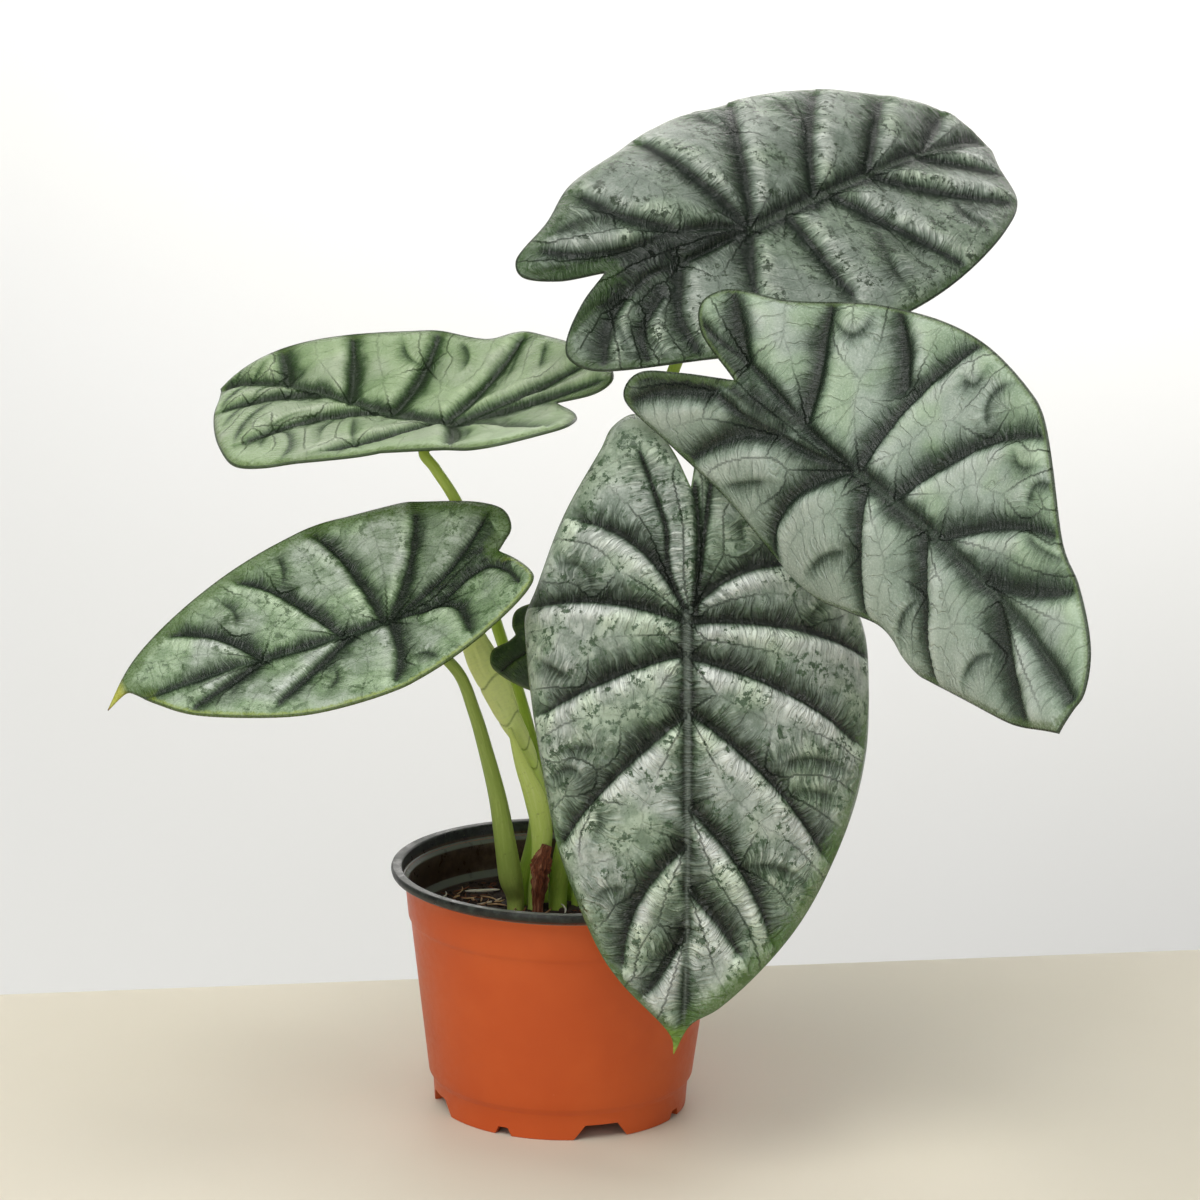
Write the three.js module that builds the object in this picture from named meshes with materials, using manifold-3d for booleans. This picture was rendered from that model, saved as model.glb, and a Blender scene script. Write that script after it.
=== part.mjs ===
// A silver dragon alocasia in its nursery pot, in millimetres, +Z up, front of the plant towards -Y.
// Each leaf is a thin quilted blade on its own stalk; the stalks stand in plain holes in the potting mix.
import * as THREE from 'three';
import { mergeVertices } from 'three/addons/utils/BufferGeometryUtils.js';
import Module from 'manifold-3d';

const wasm = await Module();
wasm.setup();

// Pot
const POT_HEIGHT = 80.5;
const RIM_RADIUS = 57;
const POT_WALL = 1.3;
const POT_SIDES = 48;
const POT_TURN = 1.8; // keeps the notch sides off the facet edges
const FLOOR_UNDERSIDE = 5.6; // raised floor, so the pot stands on its foot ring
const FOOT_RADIUS = 41.8;
const BIG_NOTCH = { width: 20, top: 11, height: 5, first: -71 };
const SMALL_NOTCH = { width: 7, top: 3.4, height: 2.8, first: -116 };

// Potting mix
const MIX_TOP = 62.5;
const MIX_MOUND = 1.6; // rise from the wall to the middle
const MIX_BUMP = 0.9;
const MIX_SIDES = 40;
const MIX_RINGS = 7;
const MIX_FOOT_RADIUS = 40.6;
const MIX_FOOT_RISE = 2; // height above the pot's floor corner at which the mix narrows
const MIX_FACET_ROOM = 0.4; // keeps the mix clear of the flats of the pot's facets
const FIT_GAP = 0.35; // between pieces that touch
const HOLE_GAP = 0.65; // round each stalk in the mix

// Stalks
const STALK_FOOT = 53; // how deep a stalk reaches into the mix
const STALK_STRAIGHT = 68; // stalks are straight up to here
const HOLE_BOTTOM = 52.5;
const HOLE_SIDES = 14;
const STALK_SIDES = 10;
const STALK_STEP = 11;

// Blades
const BLADE_THICKNESS = 1.1;
const STALK_TO_BLADE = 0.4;
const PILLOW_RISE = 2; // how far the surface rises between two veins
const PILLOW_REACH = 6.5; // distance from a vein at which it has mostly risen
const MIDRIB_SINK = 0.4;
const MIDRIB_REACH = 3;
const MARGIN_REACH = 4; // the relief fades out over this distance from the margin
const PILLOW_POWER = 1.6; // how square the pillows are
const MIDRIB_TIP = 0.96; // share of the way to the tip that the midrib reaches
const VEIN_STEPS = 12;
const MIDRIB_STEPS = 24;
const ACROSS_SLICES = 12; // steps in which a half bends down towards its margin

// Facets of a blade, as shares of its spacing
const MARGIN_SPACING = 0.85;
const VEIN_CLEARANCE = 0.55;
const FILL_CLEARANCE = 0.62;

const WELD = 1e-4; // points closer than this are one point

const COLOURS = {
  pot: 0xb9542c,
  mix: 0x2b211a,
  blade: 0x6f8a72,
  small_blade: 0x33502c,
  stalk: 0x84a04a,
  furled: 0xa6b868,
  sheath: 0x9db35c,
  cataphyll: 0x7a3d22,
};

// Leaf shapes. The leaf plane has its origin where the stalk meets the blade, u towards the tip
// and v to the left seen from above with the tip ahead.
// at: that point in the room; heading, pitch, roll: degrees; droop: bend of the midrib in radians,
// linear and growing; lobes: bend of the lobes; sweep and twist along the midrib;
// fold: how far each half (left, right) is lifted at the midrib; arch: how far it then bends down;
// spacing: size of the facets.
// left and right: margin points between the tip and the notch; hidden parts follow the seen ones.
// veins: start along the midrib, bend point and end, all in the leaf plane.
const LEAVES = {
  a: {
    at: [58, 39, 287], heading: 43, pitch: 15, roll: 48,
    length: 153, back: 81, half: 64, spacing: 7.5,
    droop: [-0.08, 0.82], lobes: 0.34, sweep: 0, twist: -0.09, fold: [0.17, 0.23], arch: [1.18, 0.17],
    tip: [148, 0], notch: [-57, 10],
    left: [[118, 20], [95, 31], [71, 49], [45, 60], [24, 65], [7, 63], [-9, 57], [-39, 50],
      [-59, 38], [-78, 30], [-80, 24], [-72, 16]],
    right: [[123, -14], [107, -32], [86, -42], [51, -51], [23, -53], [-15, -49], [-47, -35],
      [-82, -16], [-85, -8], [-82, -3], [-70, 5]],
    veins: [[0, 18, 29, 43, 54], [31, 43, 22, 73, 40], [58, 74, 14, 96, 27], [0, -7, 25, -2, 52],
      [0, -30, 20, -41, 37], [0, -53, 18, -74, 27], [17, 13, -20, 11, -38], [38, 49, -28, 57, -46],
      [59, 76, -19, 103, -33], [0, -13, -12, -20, -24], [0, -27, 0, -50, -16], [0, -56, 3, -76, -6],
      [90, 108, 8, 120, 13], [86, 102, -9, 117, -19]],
  },
  b: {
    at: [-40, 30, 222], heading: 141, pitch: -7, roll: -20,
    length: 112, back: 58, half: 47, spacing: 6.8,
    droop: [-1.5, 2.05], lobes: -0.09, sweep: -0.06, twist: -0.44, fold: [0.24, 0.05], arch: [0.07, -0.44],
    tip: [106, -2], notch: [-38, -11],
    left: [[98, 7], [89, 19], [66, 41], [50, 51], [40, 50], [29, 44], [8, 37], [-24, 33],
      [-39, 35], [-48, 32], [-58, 22], [-62, 15], [-54, -1]],
    right: [[93, -9], [75, -18], [40, -34], [30, -38], [10, -41], [-1, -46], [-14, -44], [-36, -37],
      [-52, -27], [-56, -20], [-53, -15]],
    veins: [[5, 12, 20, 24, 34], [30, 48, 14, 57, 35], [55, 74, 10, 84, 17], [0, -16, 16, -24, 28],
      [0, -34, 8, -52, 16], [25, 24, -18, 29, -36], [43, 51, -15, 58, -25], [70, 76, -8, 81, -14],
      [3, 0, -22, -4, -42], [0, -19, -16, -38, -29], [0, -26, -12, -50, -20]],
  },
  c: {
    at: [-57, -19, 166.5], heading: 190, pitch: -20, roll: -26,
    length: 99, back: 49, half: 42, spacing: 6.8,
    droop: [-0.6, 0.7], lobes: -0.35, sweep: 0.1, twist: -0.15, fold: [0.08, 0.06], arch: [-0.05, -0.2],
    tip: [94, -2], notch: [-41, -6],
    left: [[86, -5], [84, -3], [80, 3], [71, 14], [54, 25], [35, 33], [6, 36], [-1, 35], [-24, 28],
      [-45, 19], [-48, 15], [-45, 2]],
    right: [[80, -16], [47, -36], [24, -45], [8, -48], [-19, -44], [-25, -41], [-42, -29], [-49, -19],
      [-48, -11], [-44, -8]],
    veins: [[13, 27, 12, 43, 23], [42, 53, 6, 68, 12], [0, 0, 22, 6, 31], [0, -18, 12, -24, 22],
      [0, -36, 2, -44, 14], [2, 4, -34, 14, -45], [16, 28, -27, 41, -33], [43, 50, -16, 67, -20],
      [0, -17, -22, -23, -41], [0, -27, -16, -43, -25], [0, -28, -9, -45, -12]],
  },
  d: {
    at: [37, -44, 176.5], heading: -87, pitch: -66, roll: 2,
    length: 146, back: 74, half: 61, spacing: 7.5,
    droop: [0.32, 0.15], lobes: 0.5, sweep: -0.03, twist: 0.05, fold: [0.15, 0.05], arch: [1.05, 1.1],
    tip: [140, -3], notch: [-42, 2],
    left: [[130, 2], [124, 11], [100, 35], [78, 50], [56, 62], [39, 68], [21, 70], [4, 69], [-12, 60],
      [-36, 47], [-56, 33], [-67, 22], [-70, 14], [-60, 6]],
    right: [[134, -4], [117, -21], [108, -28], [76, -44], [66, -47], [25, -57], [4, -60], [-5, -60],
      [-14, -54], [-37, -42], [-60, -27], [-68, -23], [-72, -16], [-69, -11], [-55, -3]],
    veins: [[3, 2, 40, 10, 67], [14, 24, 37, 39, 59], [31, 52, 30, 76, 45], [61, 79, 20, 103, 27],
      [87, 96, 10, 106, 16], [0, -22, 20, -16, 50], [0, -36, 12, -50, 30], [0, -32, 5, -60, 12],
      [3, -7, -26, -7, -52], [13, 19, -25, 30, -50], [32, 55, -30, 73, -42], [73, 90, -21, 111, -20],
      [0, -26, -12, -34, -34], [0, -42, -6, -62, -17], [100, 112, -6, 120, -12]],
  },
  e: {
    at: [85.5, -72, 228], heading: -60, pitch: -15, roll: 55,
    length: 145, back: 88, half: 60, spacing: 7.5,
    droop: [-0.1, 0.04], lobes: -0.6, sweep: -0.32, twist: 0.1, fold: [0, 0], arch: [-0.08, 1.4],
    tip: [140, -9], notch: [-58, -1],
    left: [[138, -1], [137, 3], [128, 11], [106, 20], [91, 24], [51, 48], [40, 51], [14, 54], [-9, 52],
      [-32, 45], [-42, 40], [-60, 29], [-79, 20], [-83, 12], [-78, 5]],
    right: [[123, -20], [112, -25], [66, -40], [58, -42], [51, -41], [44, -37], [37, -36], [18, -41],
      [-2, -47], [-10, -47], [-41, -36], [-65, -33], [-86, -30], [-88, -25], [-86, -18], [-75, -10]],
    veins: [[2, -3, 33, 14, 55], [-4, -12, 38, -24, 47], [22, 34, 33, 58, 43], [48, 68, 20, 86, 24],
      [76, 96, 8, 106, 18], [0, -40, 22, -48, 35], [0, -62, 9, -79, 10], [8, 20, -19, 29, -35],
      [41, 58, -16, 70, -36], [85, 109, -14, 126, -17], [0, -25, -20, -20, -41],
      [0, -46, -13, -53, -34], [0, -54, -4, -83, -27]],
  },
  f: {
    at: [-7.7, 3, 154], heading: -8, pitch: -12, roll: 62,
    length: 40, back: 18, half: 16, spacing: 4,
    droop: [0.3, 0.4], lobes: 0.2, sweep: 0, twist: 0, fold: [0.2, 0.2], arch: [0.5, 0.5],
    tip: [40, 0], notch: [-10, 1],
    left: [[30, 7], [18, 14], [6, 16], [-5, 14], [-12, 9], [-12, 4]],
    right: [[30, -7], [18, -14], [6, -16], [-6, -15], [-15, -11], [-16, -6], [-12, -2]],
    veins: [[2, 8, 7, 10, 14], [10, 16, 6, 22, 11], [2, 8, -7, 10, -14], [10, 16, -6, 22, -11],
      [0, -5, 7, -6, 13], [0, -8, -6, -11, -12]],
  },
};

// Stalks: points from just above the mix to just under the blade, each with its half width;
// the last point is left to the blade.
const STALKS = {
  a: { foot: [0.5, 19, 2.6], radius: 1.9,
    path: [[4, 20, 110, 2.4], [14, 20, 165, 2.2], [24, 21, 205, 2.1], [33, 25, 242, 2],
      [47, 32, 269, 1.9]] },
  b: { foot: [-14, 14, 2.4], radius: 1.8,
    path: [[-10, 14, 88, 2.3], [-9.5, 14, 108, 2.2], [-13, 15.5, 124, 2.1], [-17.5, 16.8, 139, 2],
      [-23.6, 18, 157, 2], [-36.5, 22, 195.5, 1.9], [-44.5, 24.2, 207.8, 1.8], [-48.4, 26.4, 213.2, 1.8]] },
  c: { foot: [-16, 2.8, 2.8], radius: 1.9,
    path: [[-17.6, -1, 76, 4], [-19.2, -4, 87, 3.6], [-22, -6, 104, 2.9], [-25.9, -8, 120, 2.4],
      [-30, -10, 134.5, 2.1], [-35.6, -12.2, 148.5, 1.9], [-48, -16, 160, 1.9]] },
  d: { foot: [-1.9, 8.5, 3], radius: 2,
    path: [[-1.4, 7, 76, 3.2], [2, 3, 96, 2.7], [13, -7, 132, 2.3], [27, -17, 158, 2.1]] },
  e: { foot: [5.5, 12.5, 2.8], radius: 2,
    path: [[12, 14, 92, 2.6], [42, 16, 138, 2.4], [80, 12, 178, 2.2], [103, -14, 203, 2],
      [103, -46, 216, 2]] },
  f: { foot: [-8, 20.5, 1.8], radius: 1,
    path: [[-7, 20, 90, 1.6], [-5.5, 18.5, 118, 1.4], [-4.5, 15, 140, 1.2], [-5.5, 11, 150, 1]] },
};

// Rolled young leaf, the sheath it came from and the brown papery sheath: points x, y, z,
// half width across, half depth.
const FURLED_PATH = [[-6.5, 14.5, 70, 1.7, 1.7], [-6.6, 12, 84, 1.5, 1.5], [-7, 8.6, 99, 1.4, 1.4],
  [-9.4, 7, 109, 1.9, 1.6], [-13.4, 6.2, 119, 3, 2.1], [-18.5, 6, 128, 4.3, 2.5], [-23, 6, 138, 5.6, 2.6],
  [-27.8, 6.2, 148, 6, 2.5], [-31.6, 7.4, 156, 4.6, 2.1], [-36.5, 9.5, 168, 0.7, 0.7]];
const FURLED_FOOT = [-6.5, 14.5, 1.7];
const SHEATH_PATH = [[-9.5, 7, 68, 2.4, 2.4], [-8, 3.6, 80, 3, 2.5], [-7.6, 1.6, 92, 3.7, 2.4],
  [-9.8, 0, 103, 3.9, 1.9], [-14.6, -1, 115, 2.3, 1.2], [-18.6, -1.5, 127, 0.6, 0.6]];
const SHEATH_FOOT = [-9.5, 7, 2.4];
const CATAPHYLL_PATH = [[-8.4, 0, 67, 2, 1.5], [-8, -2.2, 76, 3, 1.5], [-7.6, -3.2, 82, 4, 1.3],
  [-5.6, -3.6, 88, 1.4, 0.8]];
const CATAPHYLL_FOOT = [-8.4, 0, 2];

const radians = THREE.MathUtils.degToRad;
const clamp01 = (x) => Math.min(1, Math.max(0, x));

// Repeatable pseudo-random numbers from 0 to 1.
function seeded(seed) {
  let state = seed >>> 0;
  return () => {
    state = (state + 0x6d2b79f5) >>> 0;
    let t = Math.imul(state ^ (state >>> 15), 1 | state);
    t = (t + Math.imul(t ^ (t >>> 7), 61 | t)) ^ t;
    return ((t ^ (t >>> 14)) >>> 0) / 4294967296;
  };
}

function geometryOf(points, faces) {
  const geometry = new THREE.BufferGeometry();
  geometry.setAttribute('position', new THREE.Float32BufferAttribute(points.flat(), 3));
  geometry.setIndex(faces.flat());
  geometry.computeVertexNormals();
  return geometry;
}

function solidOf(geometry) {
  const bare = geometry.clone();
  bare.deleteAttribute('normal');
  bare.deleteAttribute('uv');
  const merged = mergeVertices(bare, WELD);
  return new wasm.Manifold(new wasm.Mesh({
    numProp: 3,
    vertProperties: new Float32Array(merged.attributes.position.array),
    triVerts: new Uint32Array(merged.index.array),
  }));
}

function geometryOfSolid(solid) {
  const mesh = solid.getMesh();
  const geometry = new THREE.BufferGeometry();
  const points = new Float32Array(mesh.vertProperties);
  geometry.setAttribute('position', new THREE.BufferAttribute(points, 3));
  geometry.setIndex(new THREE.BufferAttribute(new Uint32Array(mesh.triVerts), 1));
  geometry.computeVertexNormals();
  return geometry;
}

const group = new THREE.Group();

function addPiece(name, geometry, colour, roughness) {
  const material = new THREE.MeshStandardMaterial({ color: colour, roughness, metalness: 0 });
  const mesh = new THREE.Mesh(geometry, material);
  mesh.name = name;
  group.add(mesh);
}

// Inner wall of the pot, radius and height, from the floor up: taper, ledge over the foot of the
// collar, collar, ledge under the rim.
const INNER_WALL = [[42.4, 9], [48.9, 63], [50.8, 65.3], [51.2, 75], [53, 76.4], [53.3, POT_HEIGHT - 0.6]];

function innerRadiusAt(z) {
  let i = 0;
  while (i < INNER_WALL.length - 2 && z > INNER_WALL[i + 1][1]) i += 1;
  const [r0, z0] = INNER_WALL[i];
  const [r1, z1] = INNER_WALL[i + 1];
  return THREE.MathUtils.lerp(r0, r1, clamp01((z - z0) / (z1 - z0)));
}

// One trapezoid prism that cuts a notch through the foot ring.
function notchCutter({ width, top, height }, angle) {
  const half = width / 2;
  const shape = new THREE.Shape([
    new THREE.Vector2(-half, -1),
    new THREE.Vector2(half, -1),
    new THREE.Vector2(top / 2, height),
    new THREE.Vector2(-top / 2, height),
  ]);
  const cutter = new THREE.ExtrudeGeometry(shape, { depth: 12, bevelEnabled: false });
  cutter.rotateX(Math.PI / 2);
  cutter.translate(0, FOOT_RADIUS + 4, 0);
  cutter.rotateZ(radians(angle - 90));
  return solidOf(cutter);
}

function buildPot() {
  const floorTop = FLOOR_UNDERSIDE + POT_WALL;
  const outside = [[0, FLOOR_UNDERSIDE], [38.6, FLOOR_UNDERSIDE], [39.6, 0], [FOOT_RADIUS, 0], [42.4, 8.6],
    [43.8, 10.8], [50.3, 62.4], [51.1, 63.8], [52.4, 76.2], [55, 77], [56.6, 78], [RIM_RADIUS, 79.4],
    [56.6, POT_HEIGHT]];
  const inside = [[53.9, POT_HEIGHT], ...[...INNER_WALL].reverse(), [41.4, floorTop], [0, floorTop]];
  const profile = [...outside, ...inside, outside[0]].map(([r, z]) => new THREE.Vector2(r, z));
  const lathe = new THREE.LatheGeometry(profile, POT_SIDES);
  lathe.rotateX(Math.PI / 2);
  lathe.rotateZ(radians(POT_TURN));
  let pot = solidOf(lathe);
  for (const notch of [BIG_NOTCH, SMALL_NOTCH]) {
    for (let k = 0; k < 4; k += 1) pot = pot.subtract(notchCutter(notch, notch.first + 90 * k));
  }
  addPiece('pot', geometryOfSolid(pot), COLOURS.pot, 0.45);
}

function holeFor([x, y, radius]) {
  const length = 30;
  const hole = new THREE.CylinderGeometry(radius + HOLE_GAP, radius + HOLE_GAP, length, HOLE_SIDES);
  hole.rotateX(Math.PI / 2);
  hole.translate(x, y, HOLE_BOTTOM + length / 2);
  return solidOf(hole);
}

// The mix: a closed round body with a bumpy, slightly mounded top and a hole for each stalk.
function buildMix() {
  const random = seeded(7);
  const points = [];
  const faces = [];
  const bottom = FLOOR_UNDERSIDE + POT_WALL + FIT_GAP;
  const sideHeights = [MIX_TOP, INNER_WALL[0][1] + MIX_FOOT_RISE, bottom];
  const edge = (z) => innerRadiusAt(z) - FIT_GAP - MIX_FACET_ROOM;
  points.push([0, 0, MIX_TOP + MIX_MOUND]);
  for (let i = 1; i <= MIX_RINGS; i += 1) {
    const share = i / MIX_RINGS;
    for (let j = 0; j < MIX_SIDES; j += 1) {
      const angle = ((j + 0.5 * (i % 2)) / MIX_SIDES) * 2 * Math.PI;
      const bump = i < MIX_RINGS ? (2 * random() - 1) * MIX_BUMP : 0;
      const radius = share * edge(MIX_TOP);
      const z = MIX_TOP + MIX_MOUND * (1 - share * share) + bump;
      points.push([radius * Math.cos(angle), radius * Math.sin(angle), z]);
    }
  }
  const turn = 0.5 * (MIX_RINGS % 2);
  for (const z of sideHeights.slice(1)) {
    for (let j = 0; j < MIX_SIDES; j += 1) {
      const angle = ((j + turn) / MIX_SIDES) * 2 * Math.PI;
      const radius = z === bottom ? MIX_FOOT_RADIUS : edge(z);
      points.push([radius * Math.cos(angle), radius * Math.sin(angle), z]);
    }
  }
  const rows = MIX_RINGS + sideHeights.length - 1;
  const at = (row, j) => 1 + row * MIX_SIDES + (j % MIX_SIDES);
  for (let j = 0; j < MIX_SIDES; j += 1) {
    faces.push([0, at(0, j), at(0, j + 1)]);
    for (let row = 0; row < rows - 1; row += 1) {
      const lead = row < MIX_RINGS - 1 && row % 2 === 0 ? 0 : 1;
      const [p, q] = [at(row, j), at(row, j + 1)];
      const [r, s] = [at(row + 1, j), at(row + 1, j + 1)];
      if (lead) faces.push([p, r, q], [q, r, s]);
      else faces.push([p, r, s], [p, s, q]);
    }
    faces.push([points.length, at(rows - 1, j + 1), at(rows - 1, j)]);
  }
  points.push([0, 0, bottom]);
  let mix = solidOf(geometryOf(points, faces));
  const stalkFeet = Object.values(STALKS).map((stalk) => stalk.foot);
  for (const foot of [...stalkFeet, FURLED_FOOT, SHEATH_FOOT, CATAPHYLL_FOOT]) {
    mix = mix.subtract(holeFor(foot));
  }
  addPiece('potting_mix', geometryOfSolid(mix), COLOURS.mix, 0.95);
}

// A body swept along points x, y, z, half width, half depth; the width lies across the view from the
// front. lid, if given, is the plane on which the far end is cut: { point, normal }.
function sweep(stations, lid) {
  const curve = new THREE.CatmullRomCurve3(stations.map(([x, y, z]) => new THREE.Vector3(x, y, z)), false,
    'centripetal');
  const count = Math.max(4, Math.round(curve.getLength() / STALK_STEP));
  const points = [];
  const faces = [];
  const size = (t, k) => {
    const place = t * (stations.length - 1);
    const i = Math.min(stations.length - 2, Math.floor(place));
    return THREE.MathUtils.lerp(stations[i][k], stations[i + 1][k], place - i);
  };
  points.push(curve.getPoint(0).toArray());
  for (let i = 0; i <= count; i += 1) {
    const t = i / count;
    const centre = curve.getPoint(t);
    const along = curve.getTangent(t);
    const deep = new THREE.Vector3(0, 1, 0).projectOnPlane(along).normalize();
    const wide = new THREE.Vector3().crossVectors(deep, along);
    for (let j = 0; j < STALK_SIDES; j += 1) {
      const angle = (j / STALK_SIDES) * 2 * Math.PI;
      const point = centre.clone()
        .addScaledVector(wide, size(t, 3) * Math.cos(angle))
        .addScaledVector(deep, size(t, 4) * Math.sin(angle));
      if (lid && i === count) {
        const gap = lid.point.clone().sub(point).dot(lid.normal) / along.dot(lid.normal);
        point.addScaledVector(along, gap);
      }
      points.push(point.toArray());
    }
  }
  const at = (row, j) => 1 + row * STALK_SIDES + (j % STALK_SIDES);
  const end = points.length;
  points.push(curve.getPoint(1).toArray());
  for (let j = 0; j < STALK_SIDES; j += 1) {
    faces.push([0, at(0, j + 1), at(0, j)], [end, at(count, j), at(count, j + 1)]);
    for (let row = 0; row < count; row += 1) {
      faces.push([at(row, j), at(row + 1, j + 1), at(row + 1, j)]);
      faces.push([at(row, j), at(row, j + 1), at(row + 1, j + 1)]);
    }
  }
  return geometryOf(points, faces);
}

// The bent midrib of a leaf as a table of points and frames along u.
function midribOf(leaf) {
  const steps = 120;
  const from = -leaf.back * 1.15;
  const step = (leaf.length * 1.03 - from) / steps;
  const rows = [];
  const here = new THREE.Vector3();
  for (let i = 0; i <= steps; i += 1) {
    const u = from + i * step;
    const ahead = clamp01(u / leaf.length);
    const behind = clamp01(-u / leaf.back);
    const down = u >= 0 ? leaf.droop[0] * ahead + leaf.droop[1] * ahead ** 2 : -leaf.lobes * behind;
    const side = leaf.sweep * ahead ** 2;
    const along = new THREE.Vector3(Math.cos(down), 0, -Math.sin(down)).multiplyScalar(Math.cos(side));
    along.y = Math.sin(side);
    const up = new THREE.Vector3(Math.sin(down), 0, Math.cos(down));
    const left = up.cross(along).normalize();
    const normal = new THREE.Vector3().crossVectors(along, left);
    const turned = left.clone().applyAxisAngle(along, leaf.twist * ahead);
    normal.applyAxisAngle(along, leaf.twist * ahead);
    if (i > 0) here.addScaledVector(along.clone().add(rows[i - 1].along), step / 2);
    rows.push({ u, along, left: turned, normal, point: here.clone() });
  }
  const zero = rows[Math.round(-from / step)].point.clone();
  const shift = -from / step - Math.round(-from / step);
  zero.addScaledVector(rows[Math.round(-from / step)].along, shift * step);
  for (const row of rows) row.point.sub(zero);
  return { rows, from, step };
}

// Where a point of the leaf plane lies in the room, before the relief is added.
function leafSurface(leaf) {
  const midrib = midribOf(leaf);
  const [heading, pitch, roll] = [leaf.heading, leaf.pitch, leaf.roll].map(radians);
  const ahead = new THREE.Vector3(Math.cos(heading) * Math.cos(pitch), Math.sin(heading) * Math.cos(pitch),
    Math.sin(pitch));
  const level = new THREE.Vector3(-Math.sin(heading), Math.cos(heading), 0);
  const above = new THREE.Vector3().crossVectors(ahead, level);
  const left = level.clone().multiplyScalar(Math.cos(roll)).addScaledVector(above, Math.sin(roll));
  const up = above.clone().multiplyScalar(Math.cos(roll)).addScaledVector(level, -Math.sin(roll));
  const turn = new THREE.Matrix4().makeBasis(ahead, left, up).setPosition(...leaf.at);
  return (u, v) => {
    const place = Math.min(midrib.rows.length - 1.001, Math.max(0, (u - midrib.from) / midrib.step));
    const row = midrib.rows[Math.floor(place)];
    const next = midrib.rows[Math.floor(place) + 1];
    const share = place - Math.floor(place);
    const point = row.point.clone().lerp(next.point, share);
    const across = row.left.clone().lerp(next.left, share);
    const normal = row.normal.clone().lerp(next.normal, share);
    const half = v >= 0 ? 0 : 1;
    const run = Math.abs(v);
    const slice = run / ACROSS_SLICES;
    for (let k = 0; k < ACROSS_SLICES; k += 1) {
      const lean = -leaf.fold[half] + (leaf.arch[half] * (k + 0.5) * slice) / leaf.half;
      point.addScaledVector(across, Math.sign(v) * Math.cos(lean) * slice);
      point.addScaledVector(normal, -Math.sin(lean) * slice);
    }
    return point.applyMatrix4(turn);
  };
}

function normalAt(surface, u, v) {
  const along = surface(u + 0.5, v).sub(surface(u - 0.5, v));
  const across = surface(u, v + 0.5).sub(surface(u, v - 0.5));
  return along.cross(across).normalize();
}

// Points evenly spaced along one side of the margin, tip and notch included.
function marginSide(leaf, points) {
  const corners = [leaf.tip, ...points, leaf.notch].map(([u, v]) => new THREE.Vector3(u, v, 0));
  const curve = new THREE.CatmullRomCurve3(corners, false, 'centripetal');
  const count = Math.round(curve.getLength() / (MARGIN_SPACING * leaf.spacing));
  return curve.getSpacedPoints(count).map((p) => [p.x, p.y]);
}

// Veins as short chains of points in the leaf plane, the midrib first.
function veinChains(leaf) {
  const chains = [];
  const midrib = [];
  for (let k = 0; k <= MIDRIB_STEPS; k += 1) {
    midrib.push([(leaf.tip[0] * MIDRIB_TIP * k) / MIDRIB_STEPS, 0]);
  }
  chains.push(midrib);
  for (const [start, bendU, bendV, endU, endV] of leaf.veins) {
    const curve = new THREE.QuadraticBezierCurve(new THREE.Vector2(start, 0),
      new THREE.Vector2(bendU, bendV), new THREE.Vector2(endU, endV));
    chains.push(curve.getPoints(VEIN_STEPS).map((p) => [p.x, p.y]));
  }
  return chains;
}

// Distance from a point of the plane to a chain of points.
function distanceTo(u, v, chain) {
  let least = Infinity;
  for (let i = 1; i < chain.length; i += 1) {
    const [x0, y0] = chain[i - 1];
    const [dx, dy] = [chain[i][0] - x0, chain[i][1] - y0];
    const share = clamp01(((u - x0) * dx + (v - y0) * dy) / (dx * dx + dy * dy));
    least = Math.min(least, Math.hypot(u - x0 - share * dx, v - y0 - share * dy));
  }
  return least;
}

// Height of the quilted surface over the bent sheet: pillows between sunk veins, flat at the margin.
function reliefOf(leaf, margin) {
  const chains = veinChains(leaf);
  const size = leaf.length / LEAVES.d.length;
  const edge = [...margin, margin[0]];
  return (u, v) => {
    const away = Math.min(...chains.map((chain) => distanceTo(u, v, chain)));
    const pillow = 1 - Math.exp(-((away / (PILLOW_REACH * size)) ** PILLOW_POWER));
    const midrib = Math.exp(-((distanceTo(u, v, chains[0]) / MIDRIB_REACH) ** 2));
    const inwards = 1 - Math.exp(-((distanceTo(u, v, edge) / MARGIN_REACH) ** 2));
    return size * inwards * (PILLOW_RISE * (pillow - 0.5) - MIDRIB_SINK * midrib);
  };
}

// Points that the triangles of a blade are drawn between: margin, veins, then a fill between them.
function sheetPoints(leaf, margin) {
  const points = [...margin];
  const spacing = leaf.spacing;
  const clear = (u, v, reach) => points.every(([x, y]) => Math.hypot(u - x, v - y) > reach);
  const inside = (u, v) => isInside([u, v], margin);
  for (const chain of veinChains(leaf)) {
    const path = new THREE.CatmullRomCurve3(chain.map(([u, v]) => new THREE.Vector3(u, v, 0)));
    for (const { x, y } of path.getSpacedPoints(Math.ceil(path.getLength() / spacing))) {
      if (inside(x, y) && clear(x, y, VEIN_CLEARANCE * spacing)) points.push([x, y]);
    }
  }
  const row = spacing * Math.sin(Math.PI / 3);
  const reach = leaf.length + leaf.back;
  const count = Math.ceil(reach / row);
  for (let i = -count; i <= count; i += 1) {
    for (let j = -count; j <= count; j += 1) {
      const [u, v] = [i * row, (j + 0.5 * Math.abs(i % 2)) * spacing];
      if (inside(u, v) && clear(u, v, FILL_CLEARANCE * spacing)) points.push([u, v]);
    }
  }
  return points;
}

function isInside([u, v], outline) {
  let inside = false;
  outline.forEach(([x0, y0], i) => {
    const [x1, y1] = outline[(i + 1) % outline.length];
    if ((y0 > v) !== (y1 > v) && u < ((x1 - x0) * (v - y0)) / (y1 - y0) + x0) inside = !inside;
  });
  return inside;
}

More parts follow.
